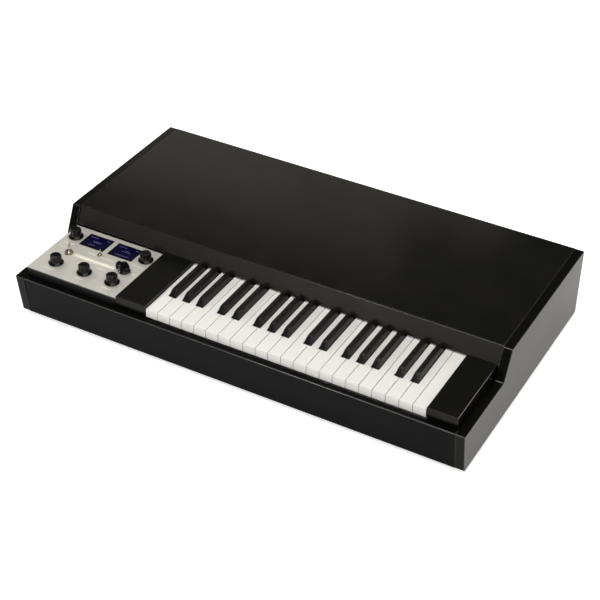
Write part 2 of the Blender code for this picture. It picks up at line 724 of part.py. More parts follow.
def make_main_board():
    """Board on stand-offs with the supply and the rear sockets soldered to it."""
    floor = up(BASE_T + GAP)
    board_z = floor + STANDOFF_H
    top = board_z + BOARD_T
    rear = back(CASE_D - BACK_T - 4 * GAP)
    half = BOARD_W / 2
    bm = bmesh.new()
    slab(bm, (-half, back(BOARD_FRONT), board_z), (half, rear, top))
    board = add("main_board", bm, BOARD_GREEN)
    feet = bmesh.new()
    for x in (-half + STANDOFF_INSET, half - STANDOFF_INSET):
        for y in (back(BOARD_FRONT) + STANDOFF_INSET, rear - 3 * STANDOFF_INSET):
            post(feet, x, y, floor, board_z + BOARD_T / 2, STANDOFF_R, BORE_SIDES)
    wide, deep, tall = SUPPLY_SIZE
    slab(feet, (half - 2 * STANDOFF_INSET - wide, back(BOARD_FRONT) + STANDOFF_INSET, top - BOARD_T / 2),
         (half - 2 * STANDOFF_INSET, back(BOARD_FRONT) + STANDOFF_INSET + deep, top + tall))
    combine(board, "UNION", cutter("board_feet", feet))
    bodies = bmesh.new()
    noses = bmesh.new()
    socket_z = up(SOCKET_H)
    nose_y = back(CASE_D - SOCKET_SUNK)
    for x, radius in round_sockets():
        side = radius + SOCKET_SIDE
        slab(bodies, (x - side, rear - SOCKET_BODY_D, top - BOARD_T / 2), (x + side, rear, socket_z + side))
        bar_y(noses, rear - SOCKET_SIDE, nose_y, x, socket_z, radius)
    wide = INLET_W / 2 + SOCKET_SIDE
    tall = INLET_H / 2
    slab(bodies, (INLET_X - wide, rear - SOCKET_BODY_D, top - BOARD_T / 2),
         (INLET_X + wide, rear, socket_z + tall + SOCKET_SIDE))
    slab(noses, (INLET_X - INLET_W / 2, rear - SOCKET_SIDE, socket_z - tall),
         (INLET_X + INLET_W / 2, nose_y, socket_z + tall))
    combine(board, "UNION", cutter("socket_bodies", bodies))
    combine(board, "UNION", cutter("socket_noses", noses))


def main():
    for old in list(bpy.data.objects):
        bpy.data.objects.remove(old, do_unlink=True)
    make_cheeks()
    make_top_and_fascia()
    make_shell()
    make_feet()
    make_bed()
    bores = bore_cutter()
    make_white_keys(bores)
    make_black_keys(bores)
    make_blocks()
    make_control_panel()
    make_control_housing()
    make_round_knobs()
    make_selector()
    make_toggle_levers()
    make_main_board()


main()
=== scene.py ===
"""Looks of a sample playback keyboard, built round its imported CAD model.

Sizes are in metres, in the CAD's frame: X runs along the keys, Y from the player to the back, Z up.
"""
import math
import random

import bmesh
import bpy
from mathutils import Matrix, Vector


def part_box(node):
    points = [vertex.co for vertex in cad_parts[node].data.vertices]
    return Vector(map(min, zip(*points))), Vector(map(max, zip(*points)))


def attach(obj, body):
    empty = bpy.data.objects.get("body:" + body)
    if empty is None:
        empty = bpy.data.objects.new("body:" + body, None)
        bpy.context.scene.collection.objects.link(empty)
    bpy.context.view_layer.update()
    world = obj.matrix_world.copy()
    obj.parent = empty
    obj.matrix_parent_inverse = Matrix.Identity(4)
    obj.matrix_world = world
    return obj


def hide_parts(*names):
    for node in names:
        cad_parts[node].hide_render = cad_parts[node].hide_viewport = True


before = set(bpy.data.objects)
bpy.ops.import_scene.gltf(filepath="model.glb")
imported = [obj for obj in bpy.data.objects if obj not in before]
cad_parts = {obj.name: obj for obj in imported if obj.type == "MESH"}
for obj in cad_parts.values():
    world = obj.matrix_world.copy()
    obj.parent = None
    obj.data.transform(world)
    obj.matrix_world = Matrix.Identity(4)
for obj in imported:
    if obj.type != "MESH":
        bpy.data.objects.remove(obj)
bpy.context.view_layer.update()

# Camera, fitted to the photo's edges
CAMERA_PLACE = Vector((1.03147, -1.92489, 1.62084))
CAMERA_TARGET = Vector((0.0235, -0.0405, 0.066))
CAMERA_ROLL = math.radians(1.27)
CAMERA_LENS = 91.74

# Case
CASE_D = 0.487
FRONT_LEAN = 0.012
ARM_H = 0.079
RISER_FOOT = 0.140
RISER_RUN = 0.024
FASCIA_RECESS = 0.0025
FASCIA_T = 0.009
TOP_T = 0.009
RAIL_T = 0.014
RAIL_TOP_T = 0.0108
RAIL_LEDGE = 0.020
BLOCK_PROUD = 0.0004
BLOCK_LIP = 0.0167
BLOCK_LIP_T = 0.004
GAP = 0.0003
OPEN_JOINT = 0.0019
JOINT_DEPTH = 0.0003

# Rounding of the boards' edges: a width, and the shares of it that edges beside a joint get
OUTER_EDGE = 0.0015
SEAM_SHARE = 0.35
TIGHT_SHARE = 0.15
JOINT_SHARE = 0.05
NODE_EDGE = 0.0007

# Keys
KEY_SIDE_GAP = 0.001
KEY_WALL = 0.0018
KEY_BACK_WALL = 0.018
KEY_PLATE_T = 0.0024
WHITE_EDGE = 0.0004
BLACK_RISE = 0.012
BLACK_CREST = 0.0001
BLACK_CROWN = 0.0097
BLACK_SLOPE = 0.0098
BLACK_NOSE_H = 0.0012
BLACK_ROUND = 0.0021
BLACK_BACK_GAP = 0.0092
TAIL_W = 0.010
TAIL_T = 0.011
FELT_FRONT = 0.020
FELT_INSET = 0.0002
FELT_D = 0.0076
FELT_T = 0.0004

# Panel, display windows and print; Y is taken from the case's front edge
PANEL_T = 0.002
PANEL_EDGE = 0.0002
WINDOW_W = 0.0488
WINDOW_D = 0.0350
WINDOW_OFFSET = 0.0300
WINDOW_Y = 0.1220
SHAFT_HOLE = 0.0033
BEZEL_W = 0.0508
BEZEL_D = 0.0384
BEZEL_RIM = 0.0034
BEZEL_H = 0.0004
SCREEN_BACK = 0.0004
SCREEN_SUNK = 0.0001
MARK_H = 0.00006
BAR_MIN = 0.0010
BAR_MAX = 0.0026
BAR_GAP = 0.0009

# Round knobs, from the panel's top
SHAFT_R = 0.003
SHAFT_L = 0.010
KNOB_LIFT = 0.0005
SKIRT_R = 0.0135
SKIRT_ROUND = 0.0004
SHOULDER = 0.0007
SHOULDER_H = 0.0014
WAIST_R = 0.0098
CAP_FOOT = 0.0046
CAP_R = 0.0103
CAP_WIDEST = 0.0090
KNOB_H = 0.0162
FLUTES = 9
FLUTE_DEPTH = 0.0014

# Selector knob: a round body under a bar that runs from a high tail to a low nose
SELECTOR_X = 0.0615
SELECTOR_Y = 0.0733
SELECTOR_R = 0.0107
SELECTOR_H = 0.0162
SELECTOR_NOSE_H = 0.0046
BODY_R = 0.0095
NOSE = 0.0134
TAIL = 0.0146
NOSE_BAR_W = 0.0024
TAIL_BAR_W = 0.0096

# Toggles: x from the panel's middle, heights from its top, tilt in degrees
LARGE_TOGGLE = {"x": -0.0545, "y": 0.072, "nut_r": 0.0080, "nut_h": 0.0022, "bush_r": 0.0056,
                "bush_h": 0.0048, "bore_r": 0.0037, "ball_r": 0.0031, "pivot_h": 0.0018, "stem_r": 0.0013,
                "tip_r": 0.0023, "length": 0.0185, "tilt": 10}
SMALL_TOGGLE = {"x": -0.0035, "y": 0.093, "nut_r": 0.0046, "nut_h": 0.0016, "bush_r": 0.0030,
                "bush_h": 0.0034, "bore_r": 0.0022, "ball_r": 0.0017, "pivot_h": 0.0012, "stem_r": 0.0009,
                "tip_r": 0.0014, "length": 0.0100, "tilt": 13}
THREAD_PITCH = 0.0005
THREAD_DEPTH = 0.00025

# Sockets and screws
SOCKET_Z = 0.056
JACK_XS = [-0.215 + i * 0.032 for i in range(6)]
JACK_COLLAR_R = 0.0060
JACK_NUT_R = 0.0088
JACK_NUT_H = 0.0016
JACK_BORE = 0.0034
JACK_COLLAR_H = 0.0021
ROUND_SOCKET_XS = [0.015 + i * 0.034 for i in range(3)]
ROUND_SOCKET_R = 0.0085
PIN_R = 0.0009
PIN_CIRCLE = 0.0048
INLET_X = 0.205
INLET_W = 0.028
INLET_H = 0.021
FLANGE_T = 0.0012
SCREW_R = 0.0032
SCREW_INSET = 0.009

# Floor: how strongly it glows beside the object and far away, and from where to where that grows
FLOOR_SIDE = 24
FLOOR_GLOW = 0.62
FLOOR_NEAR = 0.7
FLOOR_FAR = 3.0

# Colours of the lamps
LAMP_WHITE = (1, 0.985, 0.95)
BACK_WARMTH = (1, 0.93, 0.82)
SIDE_WARMTH = (1, 0.89, 0.70)

# Sides of a turned piece
ROUND = 48

cheek_low, cheek_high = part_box("left_cheek")
FRONT_Y = cheek_high.y - CASE_D
UNDERSIDE = cheek_low.z
ARM_TOP = UNDERSIDE + ARM_H
RISER_LEAN = RISER_RUN / (cheek_high.z - ARM_TOP)
panel_low, panel_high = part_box("control_panel")
PANEL_MID = (panel_low.x + panel_high.x) / 2
PANEL_TOP = panel_low.z + PANEL_T
REAR_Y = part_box("back_panel")[1].y


def back(distance):
    """Y of a point this far behind the case's front bottom edge."""
    return FRONT_Y + distance


def riser_y(z):
    """Y of the cheeks' slanted riser at a height."""
    return back(RISER_FOOT) + (z - ARM_TOP) * RISER_LEAN


def fascia_y(z):
    """Y of the fascia's face, a little behind the riser, at a height."""
    return riser_y(z) + FASCIA_RECESS


# Materials


def shade(color, share):
    """A colour made darker or lighter by a share."""
    return tuple(channel * share for channel in color)


def spaced(inputs):
    """Input names as nodes have them; an underscore stands for a space."""
    return {name.replace("_", " "): value for name, value in inputs.items()}


def feed(tree, node, inputs):
    """Links a node's inputs to sockets, or sets them to values."""
    for name, value in inputs.items():
        if isinstance(value, bpy.types.NodeSocket):
            tree.links.new(value, node.inputs[name])
        else:
            node.inputs[name].default_value = value


def add_node(tree, kind, inputs=None, operation=None):
    node = tree.nodes.new(kind)
    if operation:
        node.operation = operation
    feed(tree, node, inputs or {})
    return node


class Look:
    """A Principled material and the few nodes that its pattern needs."""

    def __init__(self, name, color, roughness, metallic=0.0, **inputs):
        self.material = bpy.data.materials.new(name)
        self.material.use_nodes = True
        self.tree = self.material.node_tree
        self.shader = self.tree.nodes["Principled BSDF"]
        self.feed(Base_Color=(*color, 1), Roughness=roughness, Metallic=metallic, **inputs)
        self.material.diffuse_color = (*color, 1)
        self.place = self.add("ShaderNodeTexCoord").outputs["Object"]

    def feed(self, **inputs):
        feed(self.tree, self.shader, spaced(inputs))

    def add(self, kind, **inputs):
        return add_node(self.tree, kind, spaced(inputs))

    def noise(self, scale, detail=2.0, stretch=(1, 1, 1), roughness=0.5):
        """Noise with features of about 1 / scale metres, longer where stretch is below 1."""
        mapped = self.add("ShaderNodeMapping", Vector=self.place, Scale=stretch)
        made = self.add("ShaderNodeTexNoise", Vector=mapped.outputs["Vector"], Scale=scale, Detail=detail,
                        Roughness=roughness)
        return made.outputs["Fac"]

    def ramp(self, factor, low, high, start=0.35, end=0.65):
        """Colour that goes from low to high while the factor goes from start to end."""
        made = self.add("ShaderNodeValToRGB", Fac=factor)
        for element, position, color in zip(made.color_ramp.elements, (start, end), (low, high)):
            element.position = position
            element.color = (*color, 1)
        return made.outputs["Color"]

    def spread(self, factor, low, high, start=0.3, end=0.7):
        """Value that goes from low to high while the factor goes from start to end."""
        made = self.add("ShaderNodeMapRange", Value=factor, From_Min=start, From_Max=end, To_Min=low,
                        To_Max=high)
        return made.outputs["Result"]

    def join(self, first, second, share=0.5):
        """Mix of two values, with this share of the second."""
        return self.add("ShaderNodeMix", Factor=share, A=first, B=second).outputs["Result"]

    def color(self, output):
        self.feed(Base_Color=output)

    def rough(self, output):
        self.feed(Roughness=output)

    def bump(self, height, strength, distance):
        made = self.add("ShaderNodeBump", Height=height, Strength=strength, Distance=distance)
        self.feed(Normal=made.outputs["Normal"])


def lacquer(name, grain=(0.03, 1, 1), painted_shade_tone=0.8, gloss=0.13, matt=0.15, painted_reflection_tint=(1, 0.96, 0.88)):
    """Black satin lacquer on board: a fine orange peel, with the board's grain just showing through. A lower
    tone darkens a board's copy as painted shade, and the tint colours its reflections as a painted
    reflection.
    """
    look = Look(name, (0.006, 0.006, 0.0056), matt, Specular_IOR_Level=gloss, Specular_Tint=(*painted_reflection_tint, 1))
    cloud = look.noise(14, 3)
    low = shade((0.0048, 0.0049, 0.0049), painted_shade_tone)
    high = shade((0.0068, 0.0067, 0.0062), painted_shade_tone)
    look.color(look.ramp(cloud, low, high))
    peel = look.noise(420, 1)
    lines = look.noise(700, 2, grain)
    look.rough(look.spread(look.join(cloud, lines), matt, matt * 1.3))
    look.bump(look.join(peel, lines, 0.25), 0.035, 0.0001)
    return look.material


def edge_lacquer_painted_highlight():
    """The same lacquer on the rounded edges, glossier, with a lighter mottled colour that is a painted
    highlight along the edges.
    """
    look = Look("lacquer_edge_highlight", (0.010, 0.010, 0.0095), 0.18, Specular_IOR_Level=0.8)
    edge_highlight_mottle = look.noise(60, 3)
    look.color(look.ramp(edge_highlight_mottle, (0.007, 0.007, 0.007), (0.013, 0.0125, 0.0115)))
    look.rough(look.spread(edge_highlight_mottle, 0.16, 0.21))
    return look.material


def white_plastic():
    """Smooth, slightly coated key plastic with hardly any cloud."""
    look = Look("white_key_plastic", (0.75, 0.74, 0.72), 0.3, Coat_Weight=0.25, Coat_Roughness=0.12)
    cloud = look.noise(9, 2)
    look.color(look.ramp(cloud, (0.742, 0.732, 0.712), (0.760, 0.751, 0.733), 0.3, 0.7))
    look.rough(look.spread(look.noise(40, 2), 0.29, 0.33))
    look.bump(look.noise(1500, 1), 0.02, 0.00005)
    return look.material


def black_plastic():
    """Black key plastic with a fine grain along the key."""
    look = Look("black_key_plastic", (0.005, 0.005, 0.005), 0.28, Specular_IOR_Level=0.24)
    streaks = look.noise(1300, 3, (1, 0.05, 1), 0.6)
    look.color(look.ramp(streaks, (0.0030, 0.0030, 0.0031), (0.0070, 0.0069, 0.0067)))
    look.rough(look.spread(look.noise(700, 3), 0.23, 0.32))
    look.bump(look.join(streaks, look.noise(2600, 2)), 0.12, 0.00006)
    return look.material


def brushed_aluminium():
    """Satin sheet brushed along X."""
    look = Look("brushed_aluminium", (0.70, 0.685, 0.63), 0.40, 0.65)
    lines = look.noise(1500, 4, (0.02, 1, 1), 0.65)
    cloud = look.noise(14, 2)
    look.color(look.ramp(look.join(lines, cloud), (0.715, 0.695, 0.635), (0.805, 0.785, 0.73)))
    look.rough(look.spread(lines, 0.36, 0.50))
    look.bump(lines, 0.12, 0.00006)
    return look.material


def knob_plastic():
    """Glossy black moulding."""
    look = Look("knob_plastic", (0.0022, 0.0021, 0.0019), 0.1, Specular_IOR_Level=0.21)
    look.rough(look.spread(look.noise(420, 3), 0.06, 0.13))
    look.bump(look.noise(900, 2), 0.03, 0.00004)
    return look.material


def metal(name, low, high, roughness, scale=300, stretch=(1, 1, 1)):
    """Bare or plated metal with a slight mottle."""
    look = Look(name, high, roughness, 1.0)
    mottle = look.noise(scale, 3, stretch)
    look.color(look.ramp(mottle, low, high))
    look.rough(look.spread(mottle, roughness * 0.8, roughness * 1.25))
    look.bump(mottle, 0.06, 0.00004)
    return look.material


def matte(name, low, high, roughness, scale=600, bump=0.2, **sockets):
    """Moulded, painted or printed surface without a strong gloss."""
    look = Look(name, high, roughness, **sockets)
    grain = look.noise(scale, 3)
    look.color(look.ramp(grain, low, high))
    look.rough(look.spread(grain, roughness * 0.92, min(1.0, roughness * 1.08)))
    look.bump(grain, bump, 0.0001)
    return look.material


def screen_glass(name, color, glow):
    """Display surface: dark, glossy, with a faint even glow and a fine dot pattern."""
    look = Look(name, color, 0.12, Specular_IOR_Level=0.2, Emission_Strength=1.0, Emission_Color=(*glow, 1))
    dots = look.noise(1800, 1)
    look.color(look.ramp(dots, shade(color, 0.7), color))
    look.rough(look.spread(look.noise(90, 2), 0.08, 0.16))
    return look.material


def felt():
    """Red felt with short fibres."""
    look = Look("red_felt", (0.16, 0.02, 0.02), 0.95, Sheen_Weight=0.4)
    fibres = look.noise(2200, 4, roughness=0.7)
    look.color(look.ramp(fibres, (0.10, 0.012, 0.012), (0.20, 0.03, 0.028)))
    look.bump(fibres, 0.6, 0.0003)
    return look.material


# Copies of one lacquer: the darker tones of the cheek, rail and fascia are painted shade, and the warm tint
# and the rail's cool tint are painted reflection colour.
CASE_LACQUER = lacquer("case_lacquer")
CHEEK_LACQUER = lacquer("cheek_lacquer", (1, 0.03, 1), 0.5, 0.07)
RAIL_LACQUER = lacquer("rail_lacquer", (0.03, 1, 1), 0.5, 0.035, painted_reflection_tint=(0.9, 1, 1))
FASCIA_LACQUER = lacquer("fascia_lacquer", (0.03, 1, 1), 0.7, 0.23, 0.40)
BLOCK_LACQUER = lacquer("block_lacquer", (1, 0.04, 1), 0.8)
EDGE_LACQUER = edge_lacquer_painted_highlight()
WHITE_PLASTIC = white_plastic()
BLACK_PLASTIC = black_plastic()
ALUMINIUM = brushed_aluminium()
KNOB_PLASTIC = knob_plastic()
NICKEL = metal("warm_nickel", (0.40, 0.34, 0.26), (0.56, 0.50, 0.41), 0.22)
# Darker metal for the panel plate's side faces and window walls: painted shade.
PANEL_SIDE_SHADE = metal("panel_side_painted_shade", (0.10, 0.098, 0.09), (0.17, 0.165, 0.15), 0.5, 700)
ZINC = metal("zinc_plate", (0.42, 0.42, 0.40), (0.58, 0.58, 0.56), 0.38, 120)
DARK_SCREW = metal("blackened_screw", (0.05, 0.05, 0.05), (0.09, 0.09, 0.09), 0.42, 500)
BRASS = metal("contact_brass", (0.62, 0.46, 0.20), (0.78, 0.60, 0.30), 0.25)
HOUSING_BLACK = matte("housing_black", (0.002, 0.002, 0.002), (0.005, 0.005, 0.005), 0.45,
                      Specular_IOR_Level=0.2)
# Near-black matt for the strip in the rail's open joint: painted shade.
JOINT_PAINTED_SHADE = matte("joint_black", (0.0005, 0.0005, 0.0005), (0.0015, 0.0015, 0.0015), 0.9,
                    Specular_IOR_Level=0.02)
SOCKET_BLACK = matte("socket_black", (0.010, 0.010, 0.010), (0.020, 0.020, 0.020), 0.45, 900)
BASE_PAINT = matte("base_paint", (0.010, 0.010, 0.010), (0.020, 0.0195, 0.019), 0.6, 240, 0.3)
BOARD_GREEN = matte("board_green", (0.012, 0.075, 0.035), (0.020, 0.110, 0.055), 0.4, 300)
RUBBER = matte("foot_rubber_black", (0.014, 0.014, 0.014), (0.026, 0.026, 0.026), 0.85, 700, 0.4)
CREAM_PRINT = matte("cream_print", (0.86, 0.82, 0.72), (0.94, 0.91, 0.83), 0.5, 1200, 0.05)
RED_FELT = felt()
SCREEN_NAVY = screen_glass("screen_navy", (0.0012, 0.0008, 0.012), (0.0003, 0.0002, 0.011))
SCREEN_RIM = screen_glass("screen_rim", (0.003, 0.003, 0.006), (0.0, 0.0, 0.0))
SCREEN_LINES = screen_glass("screen_lines", (0.12, 0.11, 0.26), (0.09, 0.085, 0.22))


# Meshes


def new_object(name, bm, look, sharp=None):
    """Links a bmesh as a smooth-shaded object with one material."""
    bmesh.ops.recalc_face_normals(bm, faces=bm.faces[:])
    mesh = bpy.data.meshes.new(name)
    bm.to_mesh(mesh)
    bm.free()
    mesh.materials.append(look)
    mesh.shade_smooth()
    if sharp:
        mesh.set_sharp_from_angle(angle=math.radians(sharp))
    obj = bpy.data.objects.new(name, mesh)
    bpy.context.scene.collection.objects.link(obj)
    return obj


def settle(obj, body, slot=None, *nodes):
    """Puts a finished piece on its body and hides the CAD nodes it stands for; the slot is not used."""
    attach(obj, body)
    if nodes:
        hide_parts(*nodes)


def round_off(obj, width, segments=3, weighted=False):
    """Bevels the edges that have a weight, or else all edges sharper than 30 degrees."""
    bevel = obj.modifiers.new("rounding", "BEVEL")
    bevel.width = width
    bevel.segments = segments
    bevel.limit_method = "WEIGHT" if weighted else "ANGLE"
    bevel.angle_limit = math.radians(30)
    bevel.harden_normals = True


def skin(bm, rings, closed=False):
    """Faces through rings of equal length, with flat ends or joined round."""
    rows = [[bm.verts.new(p) for p in ring] for ring in rings]
    count = len(rows[0])
    pairs = list(zip(rows, rows[1:]))
    if closed:
        pairs.append((rows[-1], rows[0]))
    for low, high in pairs:
        for i in range(count):
            j = (i + 1) % count
            bm.faces.new((low[i], low[j], high[j], high[i]))
    if not closed:
        bm.faces.new(rows[0][::-1])
        bm.faces.new(rows[-1])
    return rows


def rectangle(x0, y0, x1, y1):
    return [(x0, y0), (x1, y0), (x1, y1), (x0, y1)]


def slab(bm, low, high):
    """Box between two corners."""
    plan = rectangle(low[0], low[1], high[0], high[1])
    skin(bm, [[(x, y, z) for x, y in plan] for z in (low[2], high[2])])


def turn_points(radius, z, sides=ROUND, shape=None):
    """A ring about Z; shape gives the radius at each angle."""
    ring = []
    for i in range(sides):
        turn = 2 * math.pi * i / sides
        r = shape(turn, radius) if shape else radius
        ring.append((r * math.cos(turn), r * math.sin(turn), z))
    return ring


def arc(middle, height, radius, start, end, steps):
    """(radius, height) points of a rounded edge in a profile, angles in degrees from outward."""
    points = []
    for i in range(steps + 1):
        a = math.radians(start + (end - start) * i / steps)
        points.append((middle + radius * math.cos(a), height + radius * math.sin(a)))
    return points


def prism(name, outline, x0, x1, look, ends, corners):
    """Board with a (y, z) outline. Its edges are rounded by OUTER_EDGE times the weight given to each.

    An end takes one weight for all of its edges, or a list of them in the outline's order. The corners
    are the weights of the edges that run from end to end.
    """
    bm = bmesh.new()
    weight = bm.edges.layers.float.new("bevel_weight_edge")
    rows = skin(bm, [[(x, y, z) for y, z in outline] for x in (x0, x1)])
    count = len(outline)
    for row, shares in zip(rows, ends):
        for i in range(count):
            edge = bm.edges.get((row[i], row[(i + 1) % count]))
            edge[weight] = shares[i] if isinstance(shares, list) else shares
    for i in range(count):
        bm.edges.get((rows[0][i], rows[1][i]))[weight] = corners[i]
    obj = new_object(name, bm, look)
    # The rounded edges take the edge lacquer, whose lighter colour is a painted highlight.
    obj.data.materials.append(EDGE_LACQUER)
    round_off(obj, OUTER_EDGE, weighted=True)
    obj.modifiers["rounding"].material = 1
    return obj


def cut(obj, tool):
    """Takes the tool out of obj for good."""
    modifier = obj.modifiers.new("cut", "BOOLEAN")
    modifier.operation = "DIFFERENCE"
    modifier.solver = "EXACT"
    modifier.object = tool
    bpy.context.view_layer.update()
    done = bpy.data.meshes.new_from_object(obj.evaluated_get(bpy.context.evaluated_depsgraph_get()))
    obj.modifiers.clear()
    obj.data = done
    bpy.data.objects.remove(tool, do_unlink=True)


def gather(name, source, spots, look, sharp=35):
    """One object made of a bmesh-building function's copies at the given matrices."""
    bm = bmesh.new()
    for spot in spots:
        part = bmesh.new()
        source(part)
        part.transform(spot)
        mesh = bpy.data.meshes.new("part")
        part.to_mesh(mesh)
        part.free()
        bm.from_mesh(mesh)
        bpy.data.meshes.remove(mesh)
    return new_object(name, bm, look, sharp)


# Case


def make_cheeks():
    """Side boards, low beside the keys and high behind the riser. Their inner edges are joints."""
    foot = back(RISER_FOOT)
    outline = [(FRONT_Y, UNDERSIDE), (FRONT_Y - FRONT_LEAN, ARM_TOP), (foot, ARM_TOP),
               (foot + RISER_RUN, cheek_high.z), (cheek_high.y, cheek_high.z), (cheek_high.y, UNDERSIDE)]
    corners = [1.6, 1, 0.8, 1, 1, 1]
    inner = [TIGHT_SHARE] + [SEAM_SHARE] * 5
    for side, ends in (("left", (1, inner)), ("right", (inner, 1))):
        node = side + "_cheek"
        low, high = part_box(node)
        board = prism(node + "_board", outline, low.x, high.x, CHEEK_LACQUER, ends, corners)
        settle(board, "case", "lacquered_wood", node)


def ridge_and_mitre():
    """The top's front edge, and the inner end of the mitre below it, as (y, z)."""
    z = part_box("top_cover")[1].z
    return (fascia_y(z), z), (fascia_y(z) + TOP_T, z - TOP_T)


def make_top():
    low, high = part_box("top_cover")
    ridge, mitre = ridge_and_mitre()
    outline = [(ridge[0] + GAP, ridge[1]), (high.y, high.z), (high.y, low.z), (mitre[0] + GAP, mitre[1])]
    top = prism("top_cover_board", outline, low.x, high.x, CASE_LACQUER, (SEAM_SHARE, SEAM_SHARE),
                [0.5, 1, 0.5, 0.3])
    settle(top, "case", "lacquered_wood", "top_cover")


def make_fascia():
    """Slanted board over the back ends of the keys, mitred to the top."""
    low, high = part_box("fascia_panel")
    ridge, mitre = ridge_and_mitre()
    foot = fascia_y(low.z)
    outline = [ridge, (mitre[0], mitre[1] - GAP), (foot + FASCIA_T, low.z), (foot, low.z)]
    face = prism("fascia_board", outline, low.x, high.x, FASCIA_LACQUER, (SEAM_SHARE, SEAM_SHARE),
                 [1.2, 0.3, 0.5, 0.7])
    settle(face, "case", "lacquered_wood", "fascia_panel")


def make_front_rail():
    """Leaning rail with a ledge behind its top, and the open joint at its left end, with a matt black strip
    in it as painted shade.
    """
    low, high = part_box("front_rail")
    ledge = ARM_TOP - RAIL_LEDGE
    lip = back(RAIL_TOP_T - FRONT_LEAN)
    rear = back(RAIL_T)
    outline = [(FRONT_Y, low.z), (FRONT_Y - FRONT_LEAN, ARM_TOP), (lip, ARM_TOP), (lip, ledge),
               (rear, ledge), (rear, low.z)]
    ends = (JOINT_SHARE, [TIGHT_SHARE] + [SEAM_SHARE] * 5)
    rail = prism("front_rail_board", outline, low.x + OPEN_JOINT, high.x, RAIL_LACQUER, ends,
                 [1, 1, 0.7, 0.3, 0.3, 0.5])
    settle(rail, "case", "lacquered_wood", "front_rail")
    # A matt black strip just inside the open joint: painted shade in the gap.
    middle_y = (FRONT_Y + rear) / 2
    middle_z = (low.z + ARM_TOP) / 2
    inner = [(y + math.copysign(JOINT_DEPTH, middle_y - y), z + math.copysign(JOINT_DEPTH, middle_z - z))
             for y, z in outline]
    strip_end = low.x - GAP * 0.9
    bm = bmesh.new()
    skin(bm, [[(x, y, z) for y, z in inner] for x in (strip_end, low.x + OPEN_JOINT)])
    settle(new_object("rail_joint_shade_strip", bm, JOINT_PAINTED_SHADE), "case", "lacquered_wood")


def make_blocks():
    """Wood blocks beside the keys: a lip at the front, a slanted end under the fascia."""
    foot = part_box("fascia_panel")[0].z
    rear = fascia_y(foot) - GAP
    front = back(-BLOCK_PROUD)
    end = [0.2] + [0.3] * 5 + [0.9]
    corners = [0.1, 0.6, 0.3, 0.3, 0.3, 0.3, 0.5]
    for side in ("left", "right"):
        node = side + "_key_block"
        low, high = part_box(node)
        lip = high.z - BLOCK_LIP
        outline = [(front, high.z), (front, lip), (front + BLOCK_LIP_T, lip), (front + BLOCK_LIP_T, low.z),
                   (rear, low.z), (rear, foot), (fascia_y(high.z) - GAP, high.z)]
        block = prism(side + "_block_wood", outline, low.x, high.x, BLOCK_LACQUER, (end, end), corners)
        settle(block, "case", "lacquered_wood", node)


# Keys


def key_names():
    """All white and all black key nodes, from the left."""
    names = [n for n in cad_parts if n.startswith("key_") and n != "key_bed"]
    names.sort(key=lambda n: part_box(n)[0].x)
    return [n for n in names if n[5] != "s"], [n for n in names if n[5] == "s"]


def make_white_key(name, blacks):
    """Hollow key, open below, notched beside the boxes of the black keys."""
    low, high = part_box(name)
    neck0 = low.x
    neck1 = high.x
    shoulder = high.y
    for a, b in blacks:
        if a.x < low.x < b.x + KEY_SIDE_GAP:
            neck0 = b.x + KEY_SIDE_GAP
            shoulder = a.y - KEY_SIDE_GAP
        if a.x - KEY_SIDE_GAP < high.x < b.x:
            neck1 = a.x - KEY_SIDE_GAP
            shoulder = a.y - KEY_SIDE_GAP

    def plan(inset, end):
        points = [(low.x + inset, low.y + inset), (high.x - inset, low.y + inset)]
        if neck1 < high.x:
            points += [(high.x - inset, shoulder - inset), (neck1 - inset, shoulder - inset)]
        points += [(neck1 - inset, end), (neck0 + inset, end)]
        if neck0 > low.x:
            points += [(neck0 + inset, shoulder - inset), (low.x + inset, shoulder - inset)]
        return points

    outer = plan(0, high.y)
    inner = plan(KEY_WALL, high.y - KEY_BACK_WALL)
    bm = bmesh.new()
    weight = bm.edges.layers.float.new("bevel_weight_edge")
    rings = ((inner, high.z - KEY_PLATE_T), (inner, low.z), (outer, low.z), (outer, high.z))
    rows = skin(bm, [[(x, y, z) for x, y in ring] for ring, z in rings])
    foot = rows[2]
    top = rows[3]
    for i in range(len(outer)):
        j = (i + 1) % len(outer)
        bm.edges.get((top[i], top[j]))[weight] = 1
        bm.edges.get((foot[i], foot[j]))[weight] = 0.4
        bm.edges.get((foot[i], top[i]))[weight] = 0.6 if i < 2 else 0.3
    obj = new_object(name + "_white", bm, WHITE_PLASTIC)
    round_off(obj, WHITE_EDGE, weighted=True)
    settle(obj, name, "white_key", name)


